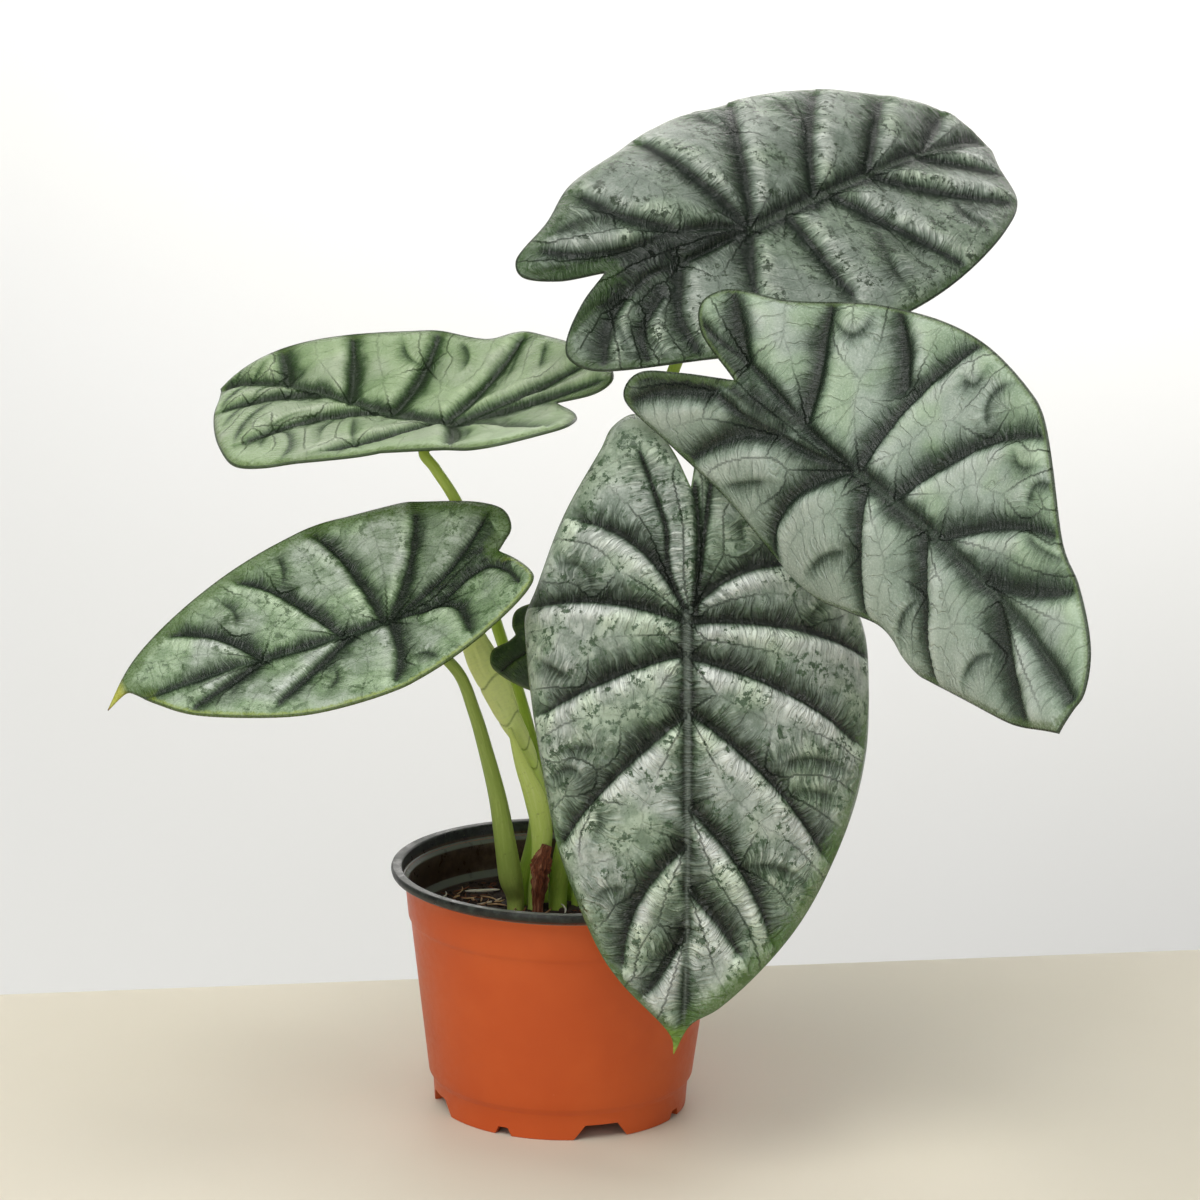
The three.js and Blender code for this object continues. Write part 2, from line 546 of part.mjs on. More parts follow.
// Circle through three points: centre and radius squared.
function circleOf([ax, ay], [bx, by], [cx, cy]) {
  const d = 2 * (ax * (by - cy) + bx * (cy - ay) + cx * (ay - by));
  const [a, b, c] = [ax * ax + ay * ay, bx * bx + by * by, cx * cx + cy * cy];
  const x = (a * (by - cy) + b * (cy - ay) + c * (ay - by)) / d;
  const y = (a * (cx - bx) + b * (ax - cx) + c * (bx - ax)) / d;
  return { x, y, square: (ax - x) ** 2 + (ay - y) ** 2 };
}

// Delaunay triangles over the points, those outside the outline left out.
function triangulate(points, outline) {
  const far = 2000;
  const random = seeded(3);
  const jittered = points.map(([u, v]) => [u + WELD * random(), v + WELD * random()]);
  const all = [...jittered, [-far, -far], [far, -far], [0, far]];
  const n = points.length;
  const triangle = (a, b, c) => ({ corners: [a, b, c], circle: circleOf(all[a], all[b], all[c]) });
  let triangles = [triangle(n, n + 1, n + 2)];
  for (let k = 0; k < n; k += 1) {
    const [u, v] = all[k];
    const hit = triangles.filter(({ circle: { x, y, square } }) => (u - x) ** 2 + (v - y) ** 2 < square);
    const edges = hit.flatMap(({ corners: [a, b, c] }) => [[a, b], [b, c], [c, a]]);
    const keys = new Set(edges.map(([a, b]) => `${a}/${b}`));
    const hull = edges.filter(([a, b]) => !keys.has(`${b}/${a}`));
    triangles = triangles.filter((t) => !hit.includes(t));
    for (const [a, b] of hull) triangles.push(triangle(a, b, k));
  }
  return triangles.map(({ corners }) => corners).filter((corners) => {
    if (corners.some((corner) => corner >= n)) return false;
    const middle = [0, 1].map((axis) => corners.reduce((sum, c) => sum + points[c][axis], 0) / 3);
    return isInside(middle, outline);
  });
}

function buildBlade(name, leaf) {
  const surface = leafSurface(leaf);
  const leftSide = marginSide(leaf, leaf.left);
  const rightSide = marginSide(leaf, leaf.right).reverse();
  const margin = [...leftSide.slice(0, -1), ...rightSide.slice(0, -1)];
  const relief = reliefOf(leaf, margin);
  const plane = sheetPoints(leaf, margin);
  const top = [];
  const under = [];
  for (const [u, v] of plane) {
    const point = surface(u, v);
    const normal = normalAt(surface, u, v);
    point.addScaledVector(normal, relief(u, v));
    top.push(point.toArray());
    under.push(point.addScaledVector(normal, -BLADE_THICKNESS).toArray());
  }
  const lower = plane.length;
  const sheet = triangulate(plane, margin);
  const edges = sheet.flatMap(([a, b, c]) => [[a, b], [b, c], [c, a]]);
  const keys = new Set(edges.map(([a, b]) => `${a}/${b}`));
  const rim = edges.filter(([a, b]) => !keys.has(`${b}/${a}`));
  const faces = [
    ...sheet,
    ...sheet.map(([a, b, c]) => [lower + a, lower + c, lower + b]),
    ...rim.flatMap(([a, b]) => [[a, lower + a, lower + b], [a, lower + b, b]]),
  ];
  addPiece(`blade_${name}`, geometryOf([...top, ...under], faces),
    name === 'f' ? COLOURS.small_blade : COLOURS.blade, 0.5);
}

// A stalk from its hole in the mix to the underside of its blade.
function buildStalk(name, stalk, leaf) {
  const surface = leafSurface(leaf);
  const normal = normalAt(surface, 0, 0);
  const drop = BLADE_THICKNESS + STALK_TO_BLADE + PILLOW_RISE / 2 + MIDRIB_SINK;
  const end = surface(0, 0).addScaledVector(normal, -drop);
  const [x, y, radius] = stalk.foot;
  const stations = [[x, y, STALK_FOOT, radius, radius], [x, y, 60, radius, radius],
    [x, y, STALK_STRAIGHT, radius, radius]];
  for (const [px, py, pz, r] of stalk.path) stations.push([px, py, pz, r, r * 0.9]);
  stations.push([...end.toArray(), stalk.radius, stalk.radius]);
  addPiece(`stalk_${name}`, sweep(stations, { point: end, normal }), COLOURS.stalk, 0.45);
}

function buildFromMix(name, [x, y, radius], path, colour) {
  const foot = [[x, y, STALK_FOOT, radius, radius], [x, y, 60, radius, radius]];
  addPiece(name, sweep([...foot, ...path]), colour, 0.5);
}

buildPot();
buildMix();
for (const [name, leaf] of Object.entries(LEAVES)) {
  buildBlade(name, leaf);
  buildStalk(name, STALKS[name], leaf);
}
buildFromMix('furled_leaf', FURLED_FOOT, FURLED_PATH, COLOURS.furled);
buildFromMix('sheath', SHEATH_FOOT, SHEATH_PATH, COLOURS.sheath);
buildFromMix('cataphyll', CATAPHYLL_FOOT, CATAPHYLL_PATH, COLOURS.cataphyll);

// The origin is at the middle of the whole plant's footprint, on the floor.
const box = new THREE.Box3().setFromObject(group);
const middle = box.getCenter(new THREE.Vector3());
group.position.set(-middle.x, -middle.y, 0);
group.updateMatrixWorld(true);

export default group;
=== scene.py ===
import math

import bmesh
import bpy
import numpy as np
from mathutils import Matrix, Vector
from mathutils.geometry import delaunay_2d_cdt


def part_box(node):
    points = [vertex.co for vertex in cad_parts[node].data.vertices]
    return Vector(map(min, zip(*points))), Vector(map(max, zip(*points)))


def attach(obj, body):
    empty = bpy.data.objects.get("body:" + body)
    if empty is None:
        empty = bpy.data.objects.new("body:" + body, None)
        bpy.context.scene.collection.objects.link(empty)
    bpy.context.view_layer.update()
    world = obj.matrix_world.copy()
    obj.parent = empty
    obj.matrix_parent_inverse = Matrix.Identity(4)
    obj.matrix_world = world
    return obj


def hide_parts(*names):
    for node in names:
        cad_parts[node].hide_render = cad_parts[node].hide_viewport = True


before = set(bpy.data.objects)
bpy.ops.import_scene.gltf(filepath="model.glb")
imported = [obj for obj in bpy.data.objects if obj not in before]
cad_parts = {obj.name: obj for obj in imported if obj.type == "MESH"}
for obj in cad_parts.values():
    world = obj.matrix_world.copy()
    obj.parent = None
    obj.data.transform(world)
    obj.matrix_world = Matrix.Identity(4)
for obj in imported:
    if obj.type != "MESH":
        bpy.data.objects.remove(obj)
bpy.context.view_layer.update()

# The plant in millimetres, with the pot's axis at x = y = 0; to_row() brings it into the row frame.
POT_LOW, POT_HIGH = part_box("pot")
AXIS = np.array([(POT_LOW.x + POT_HIGH.x) / 2, (POT_LOW.y + POT_HIGH.y) / 2, 0.0])

# Leaf shapes, as in the part. The leaf plane has its origin where the stalk meets the blade, u towards
# the tip and v to the left seen from above with the tip ahead.
# heading, pitch and roll turn the leaf; length, back and half are its reach ahead, behind and sideways.
# droop, lobes, sweep and twist bend the midrib; fold and arch lift and curl the left and right half.
# left and right: the outline's points between tip and notch; majors: start along the midrib, bend
# point and end; minors and slit: start, bend point and end; ribs: the two ribs from the stalk to the
# lobes; channel: how dark the strip between them is, as painted shade of the fold between the lobes,
# painted lighter below 0; branches: veins that leave those ribs.
LEAVES = {
    "a": dict(
        at=(58, 39, 287), heading=43, pitch=15, roll=48, length=153, back=81, half=64,
        droop=(-0.08, 0.82), lobes=0.34, sweep=0, twist=-0.09, fold=(0.17, 0.23), arch=(1.18, 0.17),
        tip=(148, 0), notch=(-57, 10),
        left=[(118, 20), (95, 31), (71, 49), (45, 60), (24, 65), (7, 63), (-9, 57), (-39, 50),
              (-59, 38), (-78, 30), (-80, 24), (-72, 16)],
        right=[(123, -14), (107, -32), (86, -42), (51, -51), (23, -53), (-15, -49), (-47, -35),
               (-82, -16), (-85, -8), (-82, -3), (-70, 5)],
        majors=[(0, 18, 29, 43, 54), (31, 43, 22, 73, 40), (58, 74, 14, 96, 27), (0, -7, 25, -2, 52),
                (17, 13, -20, 11, -38), (38, 49, -28, 57, -46), (59, 76, -19, 103, -33),
                (0, -13, -12, -20, -24), (90, 108, 8, 120, 13), (86, 102, -9, 117, -19)],
        ribs=[[(0, 0), (-13, 6), (-26, 10), (-38, 12), (-50, 14), (-60, 16), (-76, 21)],
              [(0, 0), (-22, 0), (-34, 1), (-45, 2), (-56, 0), (-67, 2), (-78, 0)]],
        channel=0.8,
        branches=[[(-26, 11), (-33, 19), (-39, 28), (-42, 41)], [(-38, 12), (-52, 16), (-62, 22), (-69, 29)],
                  [(-32, 1), (-38, -6), (-46, -16), (-50, -32)],
                  [(-45, -6), (-54, -10), (-62, -17), (-65, -24)],
                  [(-56, 0), (-64, -4), (-70, -9), (-77, -17)]],
        minors=[(42, -20, 30, -32, 30, -47), (80, -23, 72, -30, 80, -37), (56, 43, 53, 34, 49, 25),
                (29, 57, 22, 46, 29, 36), (-64, -3, -66, -13, -69, -21), (-56, -9, -61, -17, -60, -26),
                (131, 0, 120, -16, 107, -29), (-64, 32, -52, 31, -40, 28)]),
    "b": dict(
        at=(-40, 30, 222), heading=141, pitch=-7, roll=-20, length=112, back=58, half=47,
        droop=(-1.5, 2.05), lobes=-0.09, sweep=-0.06, twist=-0.44, fold=(0.24, 0.05), arch=(0.07, -0.44),
        tip=(106, -2), notch=(-38, -11),
        left=[(98, 7), (89, 19), (66, 41), (50, 51), (40, 50), (29, 44), (8, 37), (-24, 33),
              (-39, 35), (-48, 32), (-58, 22), (-62, 15), (-54, -1)],
        right=[(93, -9), (75, -18), (40, -34), (30, -38), (10, -41), (-1, -46), (-14, -44), (-36, -37),
               (-52, -27), (-56, -20), (-53, -15)],
        majors=[(5, 12, 20, 24, 34), (30, 48, 14, 57, 35), (55, 74, 10, 84, 17), (0, -16, 16, -24, 28),
                (0, -34, 8, -52, 16), (25, 24, -18, 29, -36), (43, 51, -15, 58, -25),
                (70, 76, -8, 81, -14), (3, 0, -22, -4, -42), (0, -19, -16, -38, -29),
                (0, -26, -12, -50, -20)],
        minors=[(20, 3, 50, 5, 31, 31), (-28, 26, -8, -8, 18, 5), (35, 47, 39, 27, 58, 25),
                (48, 40, 63, 26, 48, 13), (-8, -24, -6, -33, -4, -42), (-21, -28, -18, -34, -17, -40),
                (39, -29, 33, -20, 23, -25), (19, -36, 11, -33, 12, -26), (96, 10, 100, 1, 93, -8),
                (85, 20, 91, 6, 84, -9), (73, 30, 81, 13, 74, -5), (12, 33, 22, 27, 34, 8),
                (58, 42, 71, 27, 66, 5)]),
    "c": dict(
        at=(-57, -19, 166.5), heading=190, pitch=-20, roll=-26, length=99, back=49, half=42,
        droop=(-0.6, 0.7), lobes=-0.35, sweep=0.1, twist=-0.15, fold=(0.08, 0.06), arch=(-0.05, -0.2),
        tip=(94, -2), notch=(-41, -6),
        left=[(86, -5), (84, -3), (80, 3), (71, 14), (54, 25), (35, 33), (6, 36), (-1, 35), (-24, 28),
              (-45, 19), (-48, 15), (-45, 2)],
        right=[(80, -16), (47, -36), (24, -45), (8, -48), (-19, -44), (-25, -41), (-42, -29), (-49, -19),
               (-48, -11), (-44, -8)],
        majors=[(13, 27, 12, 43, 23), (42, 53, 6, 68, 12), (0, 0, 22, 6, 31), (2, 4, -34, 14, -45),
                (16, 28, -27, 41, -33), (43, 50, -16, 67, -20), (0, -17, -22, -23, -41)],
        ribs=[[(0, 0), (-10, -3), (-22, -8), (-34, -15), (-44, -22)],
              [(0, 0), (-12, 2), (-19, 1), (-28, -2), (-36, -2), (-41, 5), (-43, 14)]],
        channel=0.55,
        branches=[[(-10, 2), (-18, 4), (-22, 10), (-22, 22)]],
        minors=[(29, -27, 25, -33, 27, -39), (47, -16, 44, -22, 49, -27), (27, 25, 21, 21, 23, 15),
                (-1, 23, -8, 22, -9, 30), (57, 13, 53, 8, 47, 4)]),
    "d": dict(
        at=(37, -44, 176.5), heading=-87, pitch=-66, roll=2, length=146, back=74, half=61,
        droop=(0.32, 0.15), lobes=0.5, sweep=-0.03, twist=0.05, fold=(0.15, 0.05), arch=(1.05, 1.1),
        tip=(140, -3), notch=(-42, 2),
        left=[(130, 2), (124, 11), (100, 35), (78, 50), (56, 62), (39, 68), (21, 70), (4, 69), (-12, 60),
              (-36, 47), (-56, 33), (-67, 22), (-70, 14), (-60, 6)],
        right=[(134, -4), (117, -21), (108, -28), (76, -44), (66, -47), (25, -57), (4, -60), (-5, -60),
               (-14, -54), (-37, -42), (-60, -27), (-68, -23), (-72, -16), (-69, -11), (-55, -3)],
        majors=[(3, 2, 40, 10, 67), (14, 24, 37, 39, 59), (31, 52, 30, 76, 45), (61, 79, 20, 103, 27),
                (87, 96, 10, 106, 16), (0, -22, 20, -16, 50), (3, -7, -26, -7, -52), (13, 19, -25, 30, -50),
                (32, 55, -30, 73, -42), (73, 90, -21, 111, -20), (0, -26, -12, -34, -34),
                (100, 112, -6, 120, -12)],
        ribs=[[(0, 0), (-8, -4), (-18, -6), (-27, -6), (-42, -10), (-56, -14)],
              [(0, 3), (-10, 4), (-26, 6), (-46, 9), (-60, 13)]],
        channel=-0.1,
        minors=[(-8, -31, -19, -30, -20, -42), (12, -52, 16, -44, 21, -36), (2, 41, -3, 42, -5, 46),
                (-30, 17, -26, 18, -22, 18), (49, 27, 42, 41, 50, 55), (56, 35, 56, 43, 58, 50),
                (80, 17, 77, 29, 85, 37), (53, -47, 44, -38, 54, -33), (44, -42, 40, -34, 44, -27),
                (91, -29, 86, -26, 87, -19), (70, -29, 65, -26, 60, -30), (112, -11, 106, -9, 105, -2)],
        slit=(-43, 3, -22, 6, -3, 2)),
    "e": dict(
        at=(85.5, -72, 228), heading=-60, pitch=-15, roll=55, length=145, back=88, half=60,
        droop=(-0.1, 0.04), lobes=-0.6, sweep=-0.32, twist=0.1, fold=(0, 0), arch=(-0.08, 1.4),
        tip=(140, -9), notch=(-58, -1),
        left=[(138, -1), (137, 3), (128, 11), (106, 20), (91, 24), (51, 48), (40, 51), (14, 54), (-9, 52),
              (-32, 45), (-42, 40), (-60, 29), (-79, 20), (-83, 12), (-78, 5)],
        right=[(123, -20), (112, -25), (66, -40), (58, -42), (51, -41), (44, -37), (37, -36), (18, -41),
               (-2, -47), (-10, -47), (-41, -36), (-65, -33), (-86, -30), (-88, -25), (-86, -18),
               (-75, -10)],
        majors=[(2, -3, 33, 14, 55), (22, 34, 33, 58, 43), (48, 68, 20, 86, 24), (76, 96, 8, 106, 18),
                (8, 20, -19, 29, -35), (41, 58, -16, 70, -36), (85, 109, -14, 126, -17),
                (0, -25, -20, -20, -41)],
        ribs=[[(0, 0), (-22, 1), (-43, 4), (-56, 6), (-71, 6), (-79, 7)],
              [(0, 0), (-18, -4), (-34, -6), (-48, -8), (-62, -8), (-75, -12), (-85, -20)]],
        channel=0.5,
        branches=[[(-28, 3), (-33, 14), (-42, 28), (-47, 38)], [(-58, 6), (-68, 14), (-77, 21)],
                  [(-34, -6), (-47, -15), (-54, -24), (-59, -33)], [(-62, -8), (-76, -18), (-84, -28)],
                  [(-4, 30), (-12, 38), (-24, 47)]],
        minors=[(-43, -31, -36, -24, -27, -19), (-3, -38, 5, -24, 19, -20), (50, -33, 48, -22, 57, -15),
                (89, -27, 88, -15, 100, -11), (38, 34, 25, 42, 36, 50), (71, 24, 63, 33, 75, 34),
                (76, 19, 87, 17, 98, 23), (-45, 34, -28, 27, -32, 42), (16, 42, 24, 40, 22, 47),
                (52, 35, 58, 29, 64, 35)]),
    "f": dict(
        at=(-7.7, 3, 154), heading=-8, pitch=-12, roll=62, length=40, back=18, half=16,
        droop=(0.3, 0.4), lobes=0.2, sweep=0, twist=0, fold=(0.2, 0.2), arch=(0.5, 0.5),
        tip=(40, 0), notch=(-10, 1),
        left=[(30, 7), (18, 14), (6, 16), (-5, 14), (-12, 9), (-12, 4)],
        right=[(30, -7), (18, -14), (6, -16), (-6, -15), (-15, -11), (-16, -6), (-12, -2)],
        majors=[(2, 8, 7, 10, 14), (10, 16, 6, 22, 11), (2, 8, -7, 10, -14), (10, 16, -6, 22, -11),
                (0, -5, 7, -6, 13), (0, -8, -6, -11, -12)],
        minors=[]),
}

REFERENCE_LENGTH = LEAVES["d"]["length"]
MESH_STEP = 0.72
SMALL_LEAF_STEP, QUICK_STEP = 0.55, 1.8  # times the mesh step
BLADE_THICKNESS = 1.1
RIM_THICKNESS, RIM_WIDTH = 0.55, 2  # share of the thickness at the rim, and where it is full
PILLOW_RISE, MIDRIB_SINK, STALK_TO_BLADE = 2.0, 0.4, 0.4
MIDRIB_POINTS, BENT_POINTS, PATH_POINTS = 25, 14, 22  # points along a vein
MIDRIB_ROWS, ARCH_SLICES, OUTLINE_SAMPLES = 121, 12, 40
# Widths in the relief, in mm of the front leaf. A major's groove is steeper on the tip's side.
GROOVES = dict(midrib=3.6, tip_side=3.2, stalk_side=7.0, rib=2.2, slit=1.6)
# The dark line in the slit is painted shade.
DARK_LINES = dict(major=0.8, rib=0.7, slit=1.2)
# The dark beside a minor vein is painted shade, wider on one side.
MINOR_GROOVE, MINOR_SHADE = (1.3, 3.0), (1.0, 3.0)  # left and right of the vein
# Place and width of the painted highlight on the crest beside a major, on the tip's side
CREST_GAP, CREST_WIDTH = 1.8, 3.2
RIPPLE_PLACE, RIPPLE_WIDTH, RIPPLE_TURNS = 3.4, 3.4, 2.5
MARGIN_EASE = 2.4

# Stalks and sheaths stand in the mix. foot: x, y and radius; path: x, y, z and radius, or x, y, z, half
# width and half depth; radius: at the blade.
STALK_FOOT, STALK_GROWS, STALK_STRAIGHT = 53, 60, 68
STALKS = {
    "a": dict(foot=(0.5, 19, 2.6), radius=1.9, path=[
        (4, 20, 110, 2.4), (14, 20, 165, 2.2), (24, 21, 205, 2.1), (33, 25, 242, 2), (47, 32, 269, 1.9)]),
    "b": dict(foot=(-14, 14, 2.4), radius=1.8, path=[
        (-10, 14, 88, 2.3), (-9.5, 14, 108, 2.2), (-13, 15.5, 124, 2.1), (-17.5, 16.8, 139, 2),
        (-23.6, 18, 157, 2), (-36.5, 22, 195.5, 1.9), (-44.5, 24.2, 207.8, 1.8), (-48.4, 26.4, 213.2, 1.8)]),
    "c": dict(foot=(-16, 2.8, 2.8), radius=1.9, path=[
        (-17.6, -1, 76, 4), (-19.2, -4, 87, 3.6), (-22, -6, 104, 2.9), (-25.9, -8, 120, 2.4),
        (-30, -10, 134.5, 2.1), (-35.6, -12.2, 148.5, 1.9), (-48, -16, 160, 1.9)]),
    "d": dict(foot=(-1.9, 8.5, 3), radius=2, path=[
        (-1.4, 7, 76, 3.2), (2, 3, 96, 2.7), (13, -7, 132, 2.3), (27, -17, 158, 2.1)]),
    "e": dict(foot=(5.5, 12.5, 2.8), radius=2, path=[
        (12, 14, 92, 2.6), (42, 16, 138, 2.4), (80, 12, 178, 2.2), (103, -14, 203, 2),
        (103, -46, 216, 2)]),
    "f": dict(foot=(-8, 20.5, 1.8), radius=1, path=[
        (-7, 20, 90, 1.6), (-5.5, 18.5, 118, 1.4), (-4.5, 15, 140, 1.2), (-5.5, 11, 150, 1)]),
}
FURLED = dict(foot=(-6.5, 14.5, 1.7), path=[
    (-6.5, 14.5, 70, 1.7, 1.7), (-6.6, 12, 84, 1.5, 1.5), (-7, 8.6, 99, 1.4, 1.4), (-9.4, 7, 109, 1.9, 1.6),
    (-13.4, 6.2, 119, 3, 2.1), (-18.5, 6, 128, 4.3, 2.5), (-23, 6, 138, 5.6, 2.6),
    (-27.8, 6.2, 148, 6, 2.5), (-31.6, 7.4, 156, 4.6, 2.1), (-36.5, 9.5, 168, 0.7, 0.7)])
SHEATH = dict(foot=(-9.5, 7, 2.4), path=[
    (-9.5, 7, 68, 2.4, 2.4), (-8, 3.6, 80, 3, 2.5), (-7.6, 1.6, 92, 3.7, 2.4), (-9.8, 0, 103, 3.9, 1.9),
    (-14.6, -1, 115, 2.3, 1.2), (-18.6, -1.5, 127, 0.6, 0.6)])
CATAPHYLL = dict(foot=(-8.4, 0, 2), path=[
    (-8.4, 0, 67, 2, 1.5), (-8, -2.2, 76, 3, 1.5), (-7.6, -3.2, 82, 4, 1.3), (-5.6, -3.6, 88, 1.4, 0.8)])
CATAPHYLL_DEPTH = 1.5  # half its depth inside the mix
CREASES = (0.49, 0.553, 0.64, 0.757)  # places of the rolled leaf's creases, as a share of its length

# The pot's profile as radius and height, from the middle of its underside round to the floor inside.
POT_PROFILE = [(0, 5.6), (38.6, 5.6), (39.6, 0), (41.8, 0), (42.4, 8.6), (43.8, 10.8), (50.3, 62.4),
               (51.1, 63.8), (52.4, 76.2), (55, 77), (56.6, 78), (57, 79.4), (56.6, 80.5),
               (53.9, 80.5), (53.3, 79.9), (53, 76.4), (51.2, 75), (50.8, 65.3), (48.9, 63),
               (42.4, 9), (41.4, 6.9), (0, 6.9)]
RIM_START = 8  # the profile is black from this point on
POT_BEVEL, POT_STEP, POT_SIDES, POT_TURN = 0.22, 3, 192, 1.8
NOTCHES = [(20, 11, 5, -71), (7, 3.4, 2.8, -116)]  # width, width at the top, height, angle of the first
NOTCH_REACH = (33.8, 45.8)
CRISP_EDGE = 35  # degrees

MIX_RADIUS, MIX_LEVEL, MIX_CEILING = 48.2, 63.1, 65.6
MIX_BASE = [(42.6, 12.0), (40.4, 7.4)]  # radius and height
MIX_RINGS, MIX_SIDES = 70, 220
MIX_DOME, HOLE_SINK, HOLE_EASE = 1.4, 1.6, 1.1
CRUMBS, THREADS, PALE_THREADS = 700, 360, 26

# The fibres that the photograph shows: from x, y to x, y, half thickness, bow and shade.
FIBRES = [
    (-33.1, 20.7, -21.4, 22.4, 0.55, 0.3, 1.3), (-28.7, 5.0, -20.6, 11.8, 0.34, 0.8, 1.1),
    (-25.3, 4.4, -18.6, 2.5, 0.3, -1.2, 1.0), (-23.8, 7.5, -19.6, 10.1, 0.28, 1.4, 1.0),
    (-40.4, 12.0, -39.6, 18.5, 0.28, 0.8, 1.3), (-35.7, 17.1, -34.3, 25.5, 0.26, 0.7, 1.0),
    (-30.9, 0.4, -24.9, 10.2, 0.3, 1.0, 0.9), (-27.9, 14.1, -21.8, 7.5, 0.28, -0.9, 1.0),
    (-37.0, 21.6, -31.9, 28.2, 0.26, 0.9, 0.8), (-34.0, 11.0, -29.0, 12.5, 0.26, 1.2, 1.0),
    (-14.4, -4.8, -12.6, 2.0, 0.3, 0.6, 0.8), (-16.2, -4.0, -14.2, 2.5, 0.26, -0.8, 1.0),
    (-11.6, -6.0, -9.8, -1.2, 0.32, 0.8, 0.8), (-6.6, -5.2, -4.0, 2.0, 0.26, 0.5, 0.9),
    (0.4, -3.8, -1.0, 6.5, 0.32, 0.6, 1.3), (-3.0, -6.0, 3.0, -4.4, 0.26, 0.7, 0.9)]

# How each blade looks; lengths in mm of the front leaf.
# halo: width of the dark bands on the stalk's side and the tip's side of a vein, falloff: how they end;
# the bands are the veins' dark green, and on the stalk's side, where they are wider, painted shade;
# level: how light the skin is; depth, the crest highlight, patches and feather: what bands, painted
# highlights on the crests, patches and streaks add to it or take away, the streaks being partly painted
# highlights on the wrinkles; shades: colours from dark to light, at the lightness in spots;
# quilt and ripple: height of the pillows and of the ripples beside a vein; wrinkle, cross_sink, cell
# and net: bump of the streaks and cross veins, and scale and bump of the vein net; gloss: lowest
# roughness; flecks: strength, how rare, colour; green: strength of the green cast, green_side: more
# of it on the left; the edge line and rib: colours, the edge line dark as painted shade of the leaf's
# side, paler on d for its rolled margin; margins: width and colour, left and right; margin_from:
# where they start; tip: where it starts and its two colours.
COMMON_LOOK = dict(
    midrib_halo=5.0, falloff=1.2, cross_sink=0.4, cell=0.2, net=0.08, gloss=0.14, spots=(0, 0.3, 0.58, 1))
BLADE_LOOKS = {
    "a": dict(
        halo=(4.8, 2.0), rib_halo=2.6, level=0.59, depth=0.82, crest_highlight=0.26,
        quilt=3.2, patches=0.1, feather=0.15, wrinkle=1.0, ripple=0.14,
        shades=[(26, 37, 26), (57, 71, 55), (116, 130, 115), (216, 223, 212)],
        flecks=(0.95, 0.43, (46, 64, 40)), green=0.35, edge_line=(36, 50, 28), rib=(60, 74, 56),
        margins=[(5, (58, 86, 38)), (2, (62, 88, 42))]),
    "b": dict(
        halo=(6.5, 3.4), midrib_halo=5.5, rib_halo=3.0, falloff=1.15, level=0.73, depth=1.05, crest_highlight=0.2,
        quilt=4.2, patches=0.06, feather=0.06, wrinkle=0.5, cross_sink=0.3, ripple=0.08, gloss=0.2,
        spots=(0, 0.3, 0.6, 1), shades=[(28, 46, 18), (58, 84, 42), (138, 158, 120), (204, 215, 188)],
        green=0.4, edge_line=(40, 60, 24), rib=(48, 68, 38),
        margins=[(1.5, (90, 116, 50)), (2, (84, 110, 50))]),
    "c": dict(
        halo=(5.6, 2.8), rib_halo=2.4, falloff=1.25, level=0.65, depth=0.9, crest_highlight=0.28,
        quilt=3.0, patches=0.14, feather=0.12, wrinkle=0.8, ripple=0.12, gloss=0.18,
        shades=[(25, 38, 24), (60, 78, 54), (126, 144, 118), (222, 230, 219)],
        flecks=(0.8, 0.46, (66, 92, 52)), green=0.6, edge_line=(60, 80, 34), rib=(50, 66, 48),
        margins=[(1.2, (140, 158, 58)), (4, (78, 106, 44))], tip=(88, (176, 178, 66), (126, 72, 44))),
    "d": dict(
        halo=(5.2, 1.5), midrib_halo=3.2, rib_halo=1.2, level=0.685, depth=0.84, crest_highlight=0.34,
        quilt=3.6, patches=0.16, feather=0.16, wrinkle=1.4, cross_sink=0.6, ripple=0.2, cell=0.25,
        spots=(0, 0.28, 0.55, 1), shades=[(24, 33, 23), (58, 72, 56), (122, 137, 122), (228, 234, 226)],
        flecks=(0.95, 0.44, (64, 88, 60)), green=0.4, edge_line=(98, 122, 80), rib=(112, 124, 112),
        margins=[(5, (74, 110, 36)), (2, (70, 98, 44))], margin_from=24,
        tip=(132, (104, 138, 44), (150, 172, 56))),
    "e": dict(
        halo=(5.8, 3.8), rib_halo=3.2, falloff=1.35, level=0.705, depth=0.93, crest_highlight=0.16,
        quilt=3.4, patches=0.06, feather=0.08, wrinkle=0.6, cross_sink=0.8, ripple=0.1, gloss=0.16,
        spots=(0, 0.3, 0.6, 1), shades=[(26, 38, 27), (64, 80, 64), (142, 158, 142), (216, 225, 214)],
        green=0.48, green_side=True, edge_line=(36, 50, 28), rib=(56, 70, 56), cell=0.3, net=0.09,
        margins=[(1.2, (92, 116, 62)), (2, (84, 108, 60))]),
    "f": dict(
        halo=(3.0, 1.6), midrib_halo=2.5, falloff=1.5, level=0.4, depth=0.4, crest_highlight=0.2,
        quilt=2.4, patches=0.2, feather=0.1, wrinkle=0.4, cross_sink=0.3, ripple=0.05, cell=0.4, net=0.1,
        spots=(0, 0.4, 0.7, 1), shades=[(24, 38, 18), (46, 70, 32), (90, 114, 48), (150, 160, 80)],
        flecks=(0.2, 0.5, (40, 60, 30)), green=0.2, edge_line=(92, 112, 60), rib=(70, 94, 46),
        margins=[(1, (60, 84, 42)), (1, (60, 84, 42))]),
}
# Skin of each stalk: colour at the foot, at the blade, and of its fine lines.
STALK_LOOKS = {
    "a": [(152, 184, 68), (172, 198, 76), (196, 212, 110)],
    "b": [(154, 186, 70), (180, 204, 80), (202, 216, 114)],
    "c": [(166, 188, 92), (142, 165, 70), (184, 202, 106)],
    "d": [(158, 190, 74), (156, 186, 74), (190, 210, 106)],
    "e": [(158, 190, 74), (164, 192, 76), (190, 208, 104)],
    "f": [(118, 144, 48), (118, 144, 52), (152, 172, 78)],
}
SHEATH_LOOK = [(178, 210, 88), (220, 236, 130), (232, 242, 164)]

